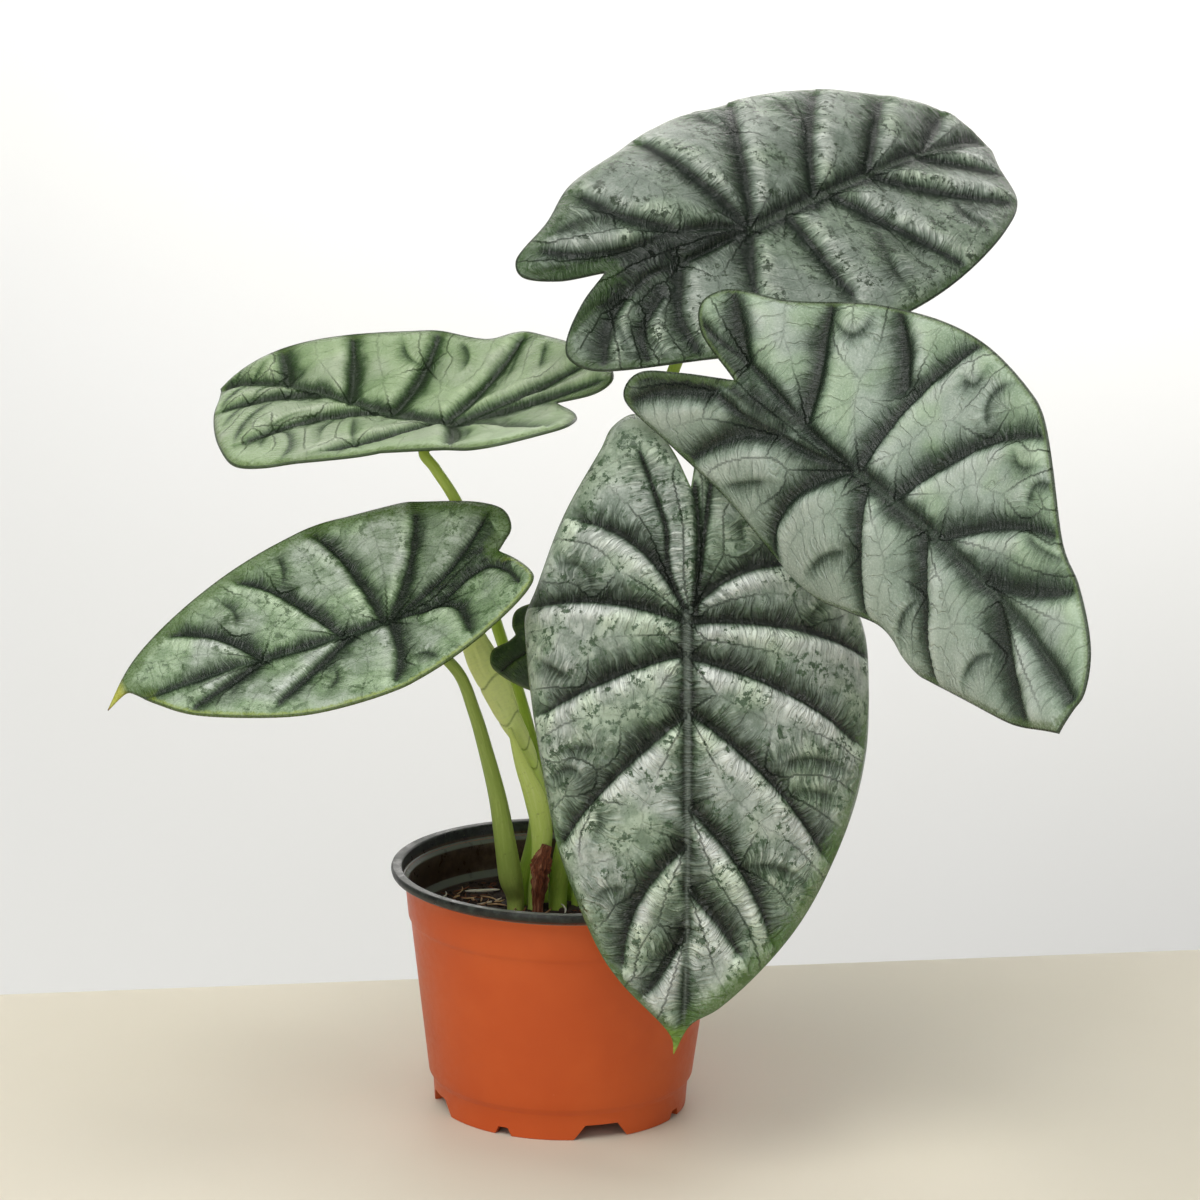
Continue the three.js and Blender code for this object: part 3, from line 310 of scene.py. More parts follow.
# Camera, stage and lamps in metres from the pot's axis; the camera's angles are in degrees.
CAMERA_PLACE = (0, -1.235, 0.4459)
CAMERA_ANGLES = (77.4092, -0.4711, 1.0914)  # tilt up from straight down, heading, roll
CAMERA_LENS, CAMERA_SENSOR = 117, 36  # millimetres
TABLE = [(-1.6, -2.0, 0), (1.6, -2.0, 0), (1.6, 0.409, 0), (-1.6, -0.146, 0)]
WALL = [(-4, 2.2, -2.2), (4, 2.2, -2.2), (4, 2.2, 3.2), (-4, 2.2, 3.2)]
ROOM_TONE, ROOM_LIGHT = (0.95, 0.97, 1, 1), 0.24
WHITE = (1, 1, 1)
LAMPS = [  # name, place, aim, size, power, tone
    ("key", (-1.0, -1.3, 2.5), (0, 0, 0.12), 2.2, 52, (1, 0.985, 0.96)),
    ("low", (-0.6, -1.7, 0.55), (0, 0, 0.1), 1.0, 5, WHITE),
    ("fill", (1.8, -1.6, 1.0), (0, 0, 0.15), 1.6, 4, WHITE),
    ("top", (0.3, 0.3, 2.3), (0, 0, 0.1), 1.2, 12, WHITE),
    ("wall_high", (0.4, 1.1, 1.3), (0.4, 2.2, 1.3), 1.7, 40, WHITE),
    ("wall_low", (-1.0, 1.1, -1.6), (-1.0, 2.2, -1.6), 1.4, 10, WHITE),
]


# Shared helpers

def to_row(points):
    """Millimetres round the pot's axis to metres in the row frame."""
    return np.asarray(points, float) / 1000 + AXIS


def catmull(stations, t):
    """Centripetal Catmull-Rom curve through the stations, at t from 0 to 1; the part's stalks use it too."""
    p = np.asarray(stations, float)
    last = len(p) - 1
    place = np.clip(np.asarray(t, float), 0, 1) * last
    i = np.minimum(np.floor(place).astype(int), last - 1)
    w = (place - i)[:, None]
    padded = np.concatenate([[2 * p[0] - p[1]], p, [2 * p[-1] - p[-2]]])
    p0, p1, p2, p3 = (padded[i + k] for k in range(4))
    span = [np.sqrt(np.linalg.norm(b - a, axis=1))[:, None] for a, b in ((p0, p1), (p1, p2), (p2, p3))]
    t1 = ((p1 - p0) / span[0] - (p2 - p0) / (span[0] + span[1]) + (p2 - p1) / span[1]) * span[1]
    t2 = ((p2 - p1) / span[1] - (p3 - p1) / (span[1] + span[2]) + (p3 - p2) / span[2]) * span[1]
    return (p1 + t1 * w + (-3 * p1 + 3 * p2 - 2 * t1 - t2) * w ** 2
            + (2 * p1 - 2 * p2 + t1 + t2) * w ** 3)


def spaced(curve, step):
    """Points of a dense polyline evenly spaced by about step."""
    run = np.concatenate([[0], np.cumsum(np.linalg.norm(np.diff(curve, axis=0), axis=1))])
    goal = np.linspace(0, run[-1], max(2, int(round(run[-1] / step)) + 1))
    return np.stack([np.interp(goal, run, curve[:, k]) for k in range(2)], 1)


def unit(vectors):
    return vectors / np.linalg.norm(vectors, axis=1)[:, None]


def smooth(low, high, x):
    t = np.clip((x - low) / (high - low), 0, 1)
    return t * t * (3 - 2 * t)


def fall(distance, width, power=2):
    """1 at distance 0, falling to 0 within a few widths."""
    return np.exp(-(distance / width) ** power)


def hash_noise(cells, seed):
    """Repeatable values from 0 to 1 for integer cells, by multiplying and mixing 32 bits."""
    low_bits = np.uint64(0xFFFFFFFF)
    h = np.full(len(cells), seed * 2654435761, np.uint64) & low_bits
    for column, prime in zip(cells.astype(np.uint64).T, (73856093, 19349663)):
        h = (h ^ (column * np.uint64(prime))) & low_bits
        h = (h * np.uint64(2246822519) + np.uint64(3266489917)) & low_bits
        h = h ^ (h >> np.uint64(13))
    return (h & np.uint64(0xFFFFFF)).astype(float) / 0xFFFFFF


def noise(points, scale, seed):
    """Smooth value noise from -1 to 1 over a plane."""
    p = points / scale
    base = np.floor(p).astype(np.int64)
    f = p - base
    f = f * f * (3 - 2 * f)
    total = np.zeros(len(p))
    for corner in ((0, 0), (1, 0), (0, 1), (1, 1)):
        weight = np.prod(np.where(corner, f, 1 - f), axis=1)
        total += weight * hash_noise(base + corner, seed)
    return 2 * total - 1


def new_object(name, points, faces, *materials):
    mesh = bpy.data.meshes.new(name)
    mesh.from_pydata([tuple(p) for p in to_row(points)], [], [tuple(map(int, f)) for f in faces])
    mesh.update()
    mesh.polygons.foreach_set("use_smooth", [True] * len(mesh.polygons))
    for material in materials:
        mesh.materials.append(material)
    piece = bpy.data.objects.new(name, mesh)
    bpy.context.scene.collection.objects.link(piece)
    return piece


def add_attribute(piece, name, values):
    kind, field = ("FLOAT", "value") if values.ndim == 1 else ("FLOAT_VECTOR", "vector")
    attribute = piece.data.attributes.new(name, kind, "POINT")
    attribute.data.foreach_set(field, values.astype(np.float32).ravel())


def settle(piece, node):
    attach(piece, "root")
    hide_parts(node)


def closed_faces(rows, sides):
    """Faces of a closed body: a first point, rows of points round it, and a last point."""
    last = rows * sides + 1
    faces = []
    for j in range(sides):
        k = (j + 1) % sides
        faces.append((0, 1 + k, 1 + j))
        for row in range(1, last - sides, sides):
            faces.append((row + j, row + k, row + sides + k, row + sides + j))
        faces.append((last - sides + j, last - sides + k, last))
    return faces


def ring(radius, height, angle):
    return np.stack([radius * np.cos(angle), radius * np.sin(angle), height + 0 * angle], 1)


# Leaves

def rotation_of(leaf):
    h, p, r = np.radians([leaf["heading"], leaf["pitch"], leaf["roll"]])
    ahead = np.array([np.cos(h) * np.cos(p), np.sin(h) * np.cos(p), np.sin(p)])
    level = np.array([-np.sin(h), np.cos(h), 0])
    above = np.cross(ahead, level)
    left = level * np.cos(r) + above * np.sin(r)
    up = above * np.cos(r) - level * np.sin(r)
    return np.stack([ahead, left, up])


def midrib_frames(leaf):
    """Table of the bent midrib's point, left and normal along u, a little past both ends."""
    us = np.linspace(-leaf["back"] * 1.15, leaf["length"] * 1.03, MIDRIB_ROWS)
    ahead = np.clip(us / leaf["length"], 0, 1)
    behind = np.clip(-us / leaf["back"], 0, 1)
    first, second = leaf["droop"]
    down = np.where(us >= 0, first * ahead + second * ahead ** 2, -leaf["lobes"] * behind)
    side = leaf["sweep"] * ahead ** 2
    along = np.stack([np.cos(down) * np.cos(side), np.sin(side), -np.sin(down) * np.cos(side)], 1)
    up = np.stack([np.sin(down), 0 * down, np.cos(down)], 1)
    left = unit(np.cross(up, along))
    normal = np.cross(along, left)
    turn = (leaf["twist"] * ahead)[:, None]
    left, normal = left * np.cos(turn) + normal * np.sin(turn), normal * np.cos(turn) - left * np.sin(turn)
    step = us[1] - us[0]
    point = np.concatenate([[[0, 0, 0]], np.cumsum((along[1:] + along[:-1]) / 2 * step, 0)])
    point -= np.array([np.interp(0, us, point[:, k]) for k in range(3)])
    return us, point, left, normal


def bent(leaf, plane):
    """Room positions of points of the leaf plane, before the relief."""
    us, point, left, normal = midrib_frames(leaf)
    u, v = plane[:, 0], plane[:, 1]
    here, across, above = (np.stack([np.interp(u, us, a[:, k]) for k in range(3)], 1)
                           for a in (point, left, normal))
    run, sign = np.abs(v), np.sign(v)
    fold = np.where(v >= 0, *leaf["fold"])
    arch = np.where(v >= 0, *leaf["arch"])
    out, rise = 0, 0
    for k in range(ARCH_SLICES):
        lean = -fold + arch * (k + 0.5) / ARCH_SLICES * run / leaf["half"]
        out = out + np.cos(lean) * run / ARCH_SLICES
        rise = rise - np.sin(lean) * run / ARCH_SLICES
    local = here + across * (sign * out)[:, None] + above * rise[:, None]
    return local @ rotation_of(leaf) + np.array(leaf["at"], float)


def normals_at(leaf, plane):
    reach = 0.4
    du = bent(leaf, plane + (reach, 0)) - bent(leaf, plane - (reach, 0))
    dv = bent(leaf, plane + (0, reach)) - bent(leaf, plane - (0, reach))
    return unit(np.cross(du, dv))


def margin_of(leaf, step):
    sides = []
    for points in (leaf["left"], leaf["right"]):
        stations = [leaf["tip"], *points, leaf["notch"]]
        curve = catmull(stations, np.linspace(0, 1, OUTLINE_SAMPLES * len(stations)))
        sides.append(spaced(curve, step))
    return np.concatenate([sides[0][:-1], sides[1][::-1][:-1]])


def bezier(*numbers):
    """A vein from the u and v of its start, its bend point and its end."""
    start, bend, end = np.array(numbers, float).reshape(3, 2)
    t = np.linspace(0, 1, BENT_POINTS)[:, None]
    return (1 - t) ** 2 * start + 2 * t * (1 - t) * bend + t ** 2 * end


def vein_lines(leaf):
    """The points and the kind of each vein."""
    midrib = np.stack([np.linspace(0, leaf["tip"][0] * 0.96, MIDRIB_POINTS), np.zeros(MIDRIB_POINTS)], 1)
    lines = [(midrib, "midrib")]
    lines += [(bezier(start, 0, *rest), "major") for start, *rest in leaf["majors"]]
    lines += [(bezier(*vein), "minor") for vein in leaf["minors"]]
    for key, kind in (("branches", "major"), ("ribs", "rib")):
        lines += [(catmull(path, np.linspace(0, 1, PATH_POINTS)), kind) for path in leaf.get(key, [])]
    if "slit" in leaf:
        lines.append((bezier(*leaf["slit"]), "slit"))
    return lines


def reach_line(plane, line):
    """For each point: distance to a polyline, run along it, its share of the length, and the side."""
    best = np.full(len(plane), np.inf)
    run, side = np.zeros(len(plane)), np.zeros(len(plane))
    lengths = np.linalg.norm(np.diff(line, axis=0), axis=1)
    before = np.concatenate([[0], np.cumsum(lengths)])
    for i, length in enumerate(lengths):
        way = (line[i + 1] - line[i]) / length
        offset = plane - line[i]
        ahead = np.clip(offset @ way, 0, length)
        distance = np.linalg.norm(offset - ahead[:, None] * way, axis=1)
        closer = distance < best
        best = np.where(closer, distance, best)
        run = np.where(closer, before[i] + ahead, run)
        side = np.where(closer, way[0] * offset[:, 1] - way[1] * offset[:, 0], side)
    return best, run, run / before[-1], side


def margin_distance(plane, margin):
    coarse = margin[::3]
    return reach_line(plane, np.concatenate([coarse, coarse[:1]]))[0]


def inside(plane, outline):
    hit = np.zeros(len(plane), bool)
    for (x0, y0), (x1, y1) in zip(outline, np.roll(outline, -1, axis=0)):
        crossing = (y0 > plane[:, 1]) != (y1 > plane[:, 1])
        if crossing.any():
            x = (x1 - x0) * (plane[:, 1] - y0) / (y1 - y0 + 1e-12) + x0
            hit ^= crossing & (plane[:, 0] < x)
    return hit


def sheet_of(leaf, step):
    """Points of the leaf plane and the triangles between them: margin, veins and an even fill."""
    margin = margin_of(leaf, step)
    lines = [line for line, _ in vein_lines(leaf)]

    def within(points, gap):
        points = points[inside(points, margin)]
        return points[margin_distance(points, margin) > gap * step]

    us = np.arange(-leaf["back"] * 1.1, leaf["length"] * 1.02, step * math.sin(math.pi / 3))
    vs = np.arange(-leaf["half"] * 1.35, leaf["half"] * 1.35, step)
    grid = np.stack(np.meshgrid(us, vs, indexing="ij"), -1)
    grid[1::2, :, 1] += step / 2
    fill = within(grid.reshape(-1, 2), 0.6)
    for line in lines:
        fill = fill[reach_line(fill, line)[0] > 0.45 * step]
    veins = within(np.concatenate([spaced(line, step) for line in lines]), 0.5)
    points = [Vector(p) for p in np.concatenate([margin, veins, fill])]
    result = delaunay_2d_cdt(points, [], [list(range(len(margin)))], 1, 1e-4)
    plane = np.array([tuple(v) for v in result[0]])
    faces = np.array(result[2])
    a, b, c = (plane[faces[:, k]] for k in range(3))
    area = (b[:, 0] - a[:, 0]) * (c[:, 1] - a[:, 1]) - (b[:, 1] - a[:, 1]) * (c[:, 0] - a[:, 0])
    faces[area < 0] = faces[area < 0][:, ::-1]
    return plane, faces, margin


def relief_of(leaf, plane, margin, look):
    """Height of the quilted surface, and what the material needs of the nearest vein."""
    size = leaf["length"] / REFERENCE_LENGTH
    edge = margin_distance(plane, margin)
    layers = dict.fromkeys(("groove", "dark", "crest_highlight", "fine", "line_dark"), np.zeros(len(plane)))

    def deepen(layer, values):
        layers[layer] = np.maximum(layers[layer], values)

    nearest = np.full(len(plane), np.inf)
    along = np.zeros(len(plane))
    wobble = 1 + 0.28 * noise(plane, 8 * size, 5) + 0.14 * noise(plane, 3 * size, 6)
    stalk_halo, tip_halo = look["halo"]
    ribs = []
    for index, (line, kind) in enumerate(vein_lines(leaf)):
        dist, run, share, side = reach_line(plane, line)
        dist = dist / size
        if kind == "midrib":
            raised = smooth(1.5, 0.6, dist / (1.05 - 0.8 * share)) * smooth(1, 0.9, share)
            deepen("groove", 0.85 * fall(dist, GROOVES["midrib"], 1.2))
            spread = look["midrib_halo"] * wobble * (1 - 0.4 * share)
            deepen("dark", (1 - 0.25 * share) * fall(dist, spread, 1.6))
        elif kind == "major":
            tipward = side * np.sign(line[-1, 1] - line[0, 1] + 1e-6) < 0
            depth = 1 - 0.4 * share ** 3
            width = np.where(tipward, GROOVES["tip_side"], GROOVES["stalk_side"]) * wobble
            deepen("groove", depth * fall(dist, width, 1.3))
            # the dark band is the vein's dark green; its wider part on the stalk's side is painted shade,
            # where the surface slopes away from the light
            spread = np.where(tipward, tip_halo, stalk_halo) * wobble * (1 - 0.25 * share)
            deepen("dark", (1 - 0.35 * share ** 3) * fall(dist, spread, look["falloff"]))
            deepen("line_dark", depth * fall(dist, DARK_LINES["major"]))
            # a painted highlight on the raised crest on the tip's side, where the surface faces the light
            lit = depth * fall(dist - tip_halo - CREST_GAP, CREST_WIDTH) * smooth(0, 0.12, share)
            deepen("crest_highlight", np.where(tipward, lit, 0))
        elif kind == "rib":
            ribs.append((line, dist))
            deepen("groove", (0.85 - 0.3 * share) * fall(dist, GROOVES["rib"], 1.3))
            spread = look["rib_halo"] * wobble * (1 - 0.3 * share)
            deepen("dark", (1 - 0.3 * share) * fall(dist, spread, 1.4))
            deepen("line_dark", (1 - 0.4 * share) * fall(dist, DARK_LINES["rib"]))
        elif kind == "minor":
            ends = smooth(0, 0.25, share) * smooth(1, 0.7, share) * 0.6 + 0.4
            deepen("fine", ends * fall(dist, np.where(side > 0, *MINOR_GROOVE), 1.25))
            # painted shade beside a minor vein
            deepen("dark", 0.5 * ends * fall(dist, np.where(side > 0, *MINOR_SHADE), 1.4))
        nearer = dist < nearest
        nearest = np.where(nearer, dist, nearest)
        along = np.where(nearer, run + 61.7 * index, along)
    if ribs:
        (first, near_first), (second, near_second) = ribs
        # the strip between the ribs is the fold between the lobes: its darkness is painted shade, with
        # streaks of painted fold shade
        channel = inside(plane, np.concatenate([first, second[::-1]]))
        channel = channel * smooth(0.3, 2.2, np.minimum(near_first, near_second))
        folds = 0.22 * noise(plane * np.array([0.35, 1]), 1.7 * size, 17)
        layers["dark"] = layers["dark"] * (1 - channel) + (leaf["channel"] + folds) * channel
        layers["crest_highlight"] = layers["crest_highlight"] * (1 - channel)
    if "slit" in leaf:
        slit = reach_line(plane, bezier(*leaf["slit"]))[0] / size
        deepen("groove", 0.85 * fall(slit, GROOVES["slit"]))
        # a dark line of painted shade in the slit where the lobes meet
        deepen("dark", 0.9 * fall(slit, DARK_LINES["slit"]))
    groove, dark, crest_highlight, fine, line_dark = layers.values()
    swell = 0.30 * noise(plane, 15 * size, 11) + 0.16 * noise(plane, 6 * size, 12)
    ripple = np.sin(along / size * RIPPLE_TURNS + 2.6 * noise(plane, 6 * size, 13))
    ripple = ripple * fall(nearest - RIPPLE_PLACE, RIPPLE_WIDTH) * look["ripple"]
    height = look["quilt"] * (0.55 - groove) + 0.5 * crest_highlight - 0.9 * fine * (1 - groove) + swell + ripple
    inwards = 1 - fall(edge, MARGIN_EASE * size, 1.6)
    height = (height + 0.5 * raised) * inwards * size
    # tone: the dark bands, partly painted shade; the painted crest highlight; the distance to the edge
    return height, dict(vein=np.stack([along / size, nearest, raised], 1),
                        tone=np.stack([dark, crest_highlight, edge], 1),
                        place=np.stack([plane[:, 0], plane[:, 1], line_dark], 1))


def build_blade(name, look, underside):
    """A quilted sheet: its top, an underside one thickness lower, and a wall round the rim."""
    leaf = LEAVES[name]
    step = MESH_STEP * (SMALL_LEAF_STEP if name == "f" else 1) * 1
    plane, faces, margin = sheet_of(leaf, step)
    height, attributes = relief_of(leaf, plane, margin, look)
    normal = normals_at(leaf, plane)
    top = bent(leaf, plane) + normal * height[:, None]
    full = smooth(0, RIM_WIDTH, attributes["tone"][:, 2])
    thickness = BLADE_THICKNESS * (RIM_THICKNESS + (1 - RIM_THICKNESS) * full)
    under = top - normal * thickness[:, None]
    count = len(plane)
    edges = set(map(tuple, np.concatenate([faces[:, [0, 1]], faces[:, [1, 2]], faces[:, [2, 0]]])))
    rim = sorted((a, b) for a, b in edges if (b, a) not in edges)
    walls = [f for a, b in rim for f in ((a, count + a, count + b), (a, count + b, b))]
    all_faces = np.concatenate([faces, faces[:, ::-1] + count, np.array(walls)])
    piece = new_object(f"leaf_blade_{name}", np.concatenate([top, under]), all_faces,
                       blade_material(f"blade_{name}_top", look), underside)
    for key, values in attributes.items():
        add_attribute(piece, key, np.tile(values, (2, 1)))
    kinds = np.zeros(len(all_faces), np.int32)
    kinds[len(faces):2 * len(faces)] = 1
    piece.data.polygons.foreach_set("material_index", kinds)
    settle(piece, f"blade_{name}")


# Stalks, rolled leaf and sheaths

def foot_of(spec, depth=None, heights=(STALK_FOOT, STALK_GROWS)):
    """The straight start of a stalk or sheath, inside the mix."""
    x, y, radius = spec["foot"]
    return [(x, y, z, radius, depth or radius) for z in heights]


def evened(values, reach=4):
    """Each value blended with its neighbours, up to this many rows away."""
    kernel = np.ones(2 * reach + 1) / (2 * reach + 1)
    return np.convolve(np.pad(values, reach, mode="edge"), kernel, "valid")


def sweep(name, material, stations, shape, sides, step, lid=None):
    """A closed body swept along stations (x, y, z, half width, half depth).

    The shape gives its radius as a share of these, by run, angle and share of the length.
    """
    stations = np.array(stations, float)
    line = stations[:, :3]
    length = np.linalg.norm(np.diff(catmull(line, np.linspace(0, 1, 400)), axis=0), axis=1).sum()
    t = np.linspace(0, 1, int(length / step) + 1)
    run = t * length
    centre = catmull(line, t)
    tangent = unit(catmull(line, np.minimum(t + 1e-3, 1)) - catmull(line, np.maximum(t - 1e-3, 0)))
    deep = unit(np.array([0, 1.0, 0]) - tangent * tangent[:, 1:2])
    wide = np.cross(deep, tangent)
    place = t * (len(stations) - 1)
    width, depth = (evened(np.interp(place, np.arange(len(stations)), stations[:, k]))[:, None]
                    for k in (3, 4))
    angle = np.arange(sides) / sides * 2 * np.pi
    radial = shape(run[:, None], angle[None, :], run[:, None] / length)
    points = (centre[:, None] + wide[:, None] * (width * np.cos(angle) * radial)[..., None]
              + deep[:, None] * (depth * np.sin(angle) * radial)[..., None])
    if lid is not None:
        point, normal = lid
        gap = (point - points[-1]) @ normal / (tangent[-1] @ normal)
        points[-1] += tangent[-1] * gap[:, None]
    flat = np.concatenate([[points[0].mean(0)], points.reshape(-1, 3), [points[-1].mean(0)]])
    piece = new_object(name, flat, closed_faces(len(t), sides), material)
    along = np.concatenate([[0], np.repeat(run, sides), [length]])
    around = np.concatenate([[0], np.tile(angle, len(t)), [0]])
    add_attribute(piece, "sweep", np.stack([along, around, along / length], 1))
    return piece


def build_stalk(name, material):
    leaf, stalk = LEAVES[name], STALKS[name]
    origin = np.zeros((1, 2))
    normal = normals_at(leaf, origin)[0]
    end = bent(leaf, origin)[0] - normal * (BLADE_THICKNESS + STALK_TO_BLADE + PILLOW_RISE / 2 + MIDRIB_SINK)
    stations = foot_of(stalk, heights=(STALK_FOOT, STALK_GROWS, STALK_STRAIGHT))
    stations += [(x, y, z, radius, radius * 0.9) for x, y, z, radius in stalk["path"]]
    stations.append((*end, stalk["radius"], stalk["radius"]))

    def ribbed(run, angle, share):
        return 1 + 0.018 * np.cos(9 * angle + 0.5) + 0.012 * np.cos(23 * angle + 0.02 * run)

    piece = sweep(f"leaf_stalk_{name}", material, stations, ribbed, sides=28, step=1.0, lid=(end, normal))
    settle(piece, f"stalk_{name}")


def creases_at(angle, share, width):
    """1 on the lines where the rolled leaf is pressed in, 0 away from them."""
    return sum(fall(share - place + 0.012 * np.sin(angle * 2 + 9 * place), width) for place in CREASES)


def build_furled(material):
    """The rolled young leaf: a spiral overlap along its front, small creases where it is pressed."""
    def rolled(run, angle, share):
        body = smooth(0.35, 0.5, share) * smooth(1, 0.9, share)
        seam = np.mod(angle - 4.1 - 1.9 * (share - 0.6), 2 * np.pi)
        lap = 0.16 * fall(seam, 0.5, 1) * 0.6
        veins = 0.012 * np.cos(14 * angle + 12 * share)
        return 0.9 + body * (lap + veins - 0.07 * creases_at(angle, share, 0.009))

    stations = foot_of(FURLED) + FURLED["path"]
    piece = sweep("rolled_young_leaf", material, stations, rolled, sides=64, step=0.5)
    data = np.zeros(len(piece.data.vertices) * 3, np.float32)
    piece.data.attributes["sweep"].data.foreach_get("vector", data)
    _, around, share = data.reshape(-1, 3).T
    # dark lines along the creases: painted shade where the leaf is pressed in
    add_attribute(piece, "crease_shade", creases_at(around, share, 0.0028))
    settle(piece, "furled_leaf")


def build_sheath(material):
    def winged(run, angle, share):
        body = smooth(0.25, 0.5, share)
        return 0.96 + 0.02 * np.cos(17 * angle) - body * 0.1 * fall(angle - 4.4, 0.25)

    stations = foot_of(SHEATH) + SHEATH["path"]
    piece = sweep("green_sheath", material, stations, winged, sides=48, step=0.8)
    settle(piece, "sheath")


def build_cataphyll(material):
    def crumpled(run, angle, share):
        folds = 0.12 * np.cos(5 * angle + 9 * share) + 0.09 * np.cos(9 * angle - 14 * share)
        dents = 0.12 * np.sin(run * 0.8 + 2 * np.sin(2 * angle + 0.5 * run))
        tatter = 0.07 * np.sin(run * 2.1 + 3 * angle)
        return 0.9 + smooth(0.3, 0.55, share) * (folds + dents + tatter - 0.08)

    stations = foot_of(CATAPHYLL, CATAPHYLL_DEPTH) + CATAPHYLL["path"]
    piece = sweep("dry_sheath", material, stations, crumpled, sides=48, step=0.6)
    settle(piece, "cataphyll")


# Pot and potting mix

def eased_profile():
    """The pot's profile with each corner cut back a little, and which of its points are black."""
    profile = np.array(POT_PROFILE, float)
    points, dark = [profile[0]], [False]
    for i in range(1, len(profile) - 1):
        for other in (i - 1, i + 1):
            way = profile[other] - profile[i]
            span = np.linalg.norm(way)
            points.append(profile[i] + way / span * min(POT_BEVEL, span * 0.3))
            dark.append(i >= RIM_START + (other < i))
    return [*points, profile[-1]], [*dark, True]


def build_pot(outside, inside):
    """A turned shell with notches in its foot; each face is red or black as its part of the profile."""
    profile, dark = eased_profile()
    rings, kinds = [], []
    for a, b, black in zip(profile, profile[1:], dark[1:]):
        parts = max(1, int(np.linalg.norm(b - a) / POT_STEP))
        rings += [a + (b - a) * k / parts for k in range(parts)]
        kinds += [int(black)] * parts
    angle = np.radians(np.arange(POT_SIDES) * 360 / POT_SIDES + POT_TURN)
    points = np.concatenate([ring(radius, height, angle) for radius, height in rings[1:]])
    points = [(0, 0, profile[0][1]), *points, (0, 0, profile[-1][1])]
    faces = closed_faces(len(rings) - 1, POT_SIDES)
    piece = new_object("nursery_pot", points, faces, outside, inside)
    piece.data.polygons.foreach_set("material_index", [0, *kinds[1:-1], 1] * POT_SIDES)
    for width, top_width, height, first in NOTCHES:
        for turn in range(4):
            cut_notch(piece, width, top_width, height, math.radians(first + 90 * turn), outside)
    keep_edges(piece)
    settle(piece, "pot")


def cut_notch(piece, width, top_width, height, angle, material):
    ahead = np.array([math.cos(angle), math.sin(angle), 0])
    across = np.array([-ahead[1], ahead[0], 0])
    section = [(-width / 2, -1), (width / 2, -1), (top_width / 2, height), (-top_width / 2, height)]
    points = [ahead * r + across * x + np.array([0, 0, z]) for r in NOTCH_REACH for x, z in section]
    sides = [((k + 1) % 4, 4 + (k + 1) % 4, 4 + k, k) for k in range(4)]
    cutter = new_object("cutter", points, [(3, 2, 1, 0), (4, 5, 6, 7), *sides], material)
    cut = piece.modifiers.new("notch", "BOOLEAN")
    cut.operation, cut.solver, cut.object = "DIFFERENCE", "EXACT", cutter
    bpy.context.view_layer.update()
    evaluated = piece.evaluated_get(bpy.context.evaluated_depsgraph_get())
    old, result = piece.data, bpy.data.meshes.new_from_object(evaluated)
    piece.modifiers.remove(cut)
    piece.data = result
    bpy.data.meshes.remove(old)
    bpy.data.objects.remove(cutter)


def keep_edges(piece):
    """Sharp edges stay crisp under smooth shading."""
    mesh = bmesh.new()
    mesh.from_mesh(piece.data)
    for edge in mesh.edges:
        edge.smooth = len(edge.link_faces) == 2 and edge.calc_face_angle(0) < math.radians(CRISP_EDGE)
    for face in mesh.faces:
        face.smooth = True
    mesh.to_mesh(piece.data)
    mesh.free()


def mix_height(x, y):
    """Heights of the mound of peat: bumps of three sizes on a low dome."""
    plane = np.stack([x, y], -1).reshape(-1, 2)
    r = np.hypot(*plane.T) / MIX_RADIUS
    bumps = 0.75 * noise(plane, 9, 31) + 0.55 * noise(plane, 3.7, 32) + 0.4 * np.abs(noise(plane, 1.7, 33))
    return MIX_LEVEL + MIX_DOME * (1 - r * r) + bumps - 0.2


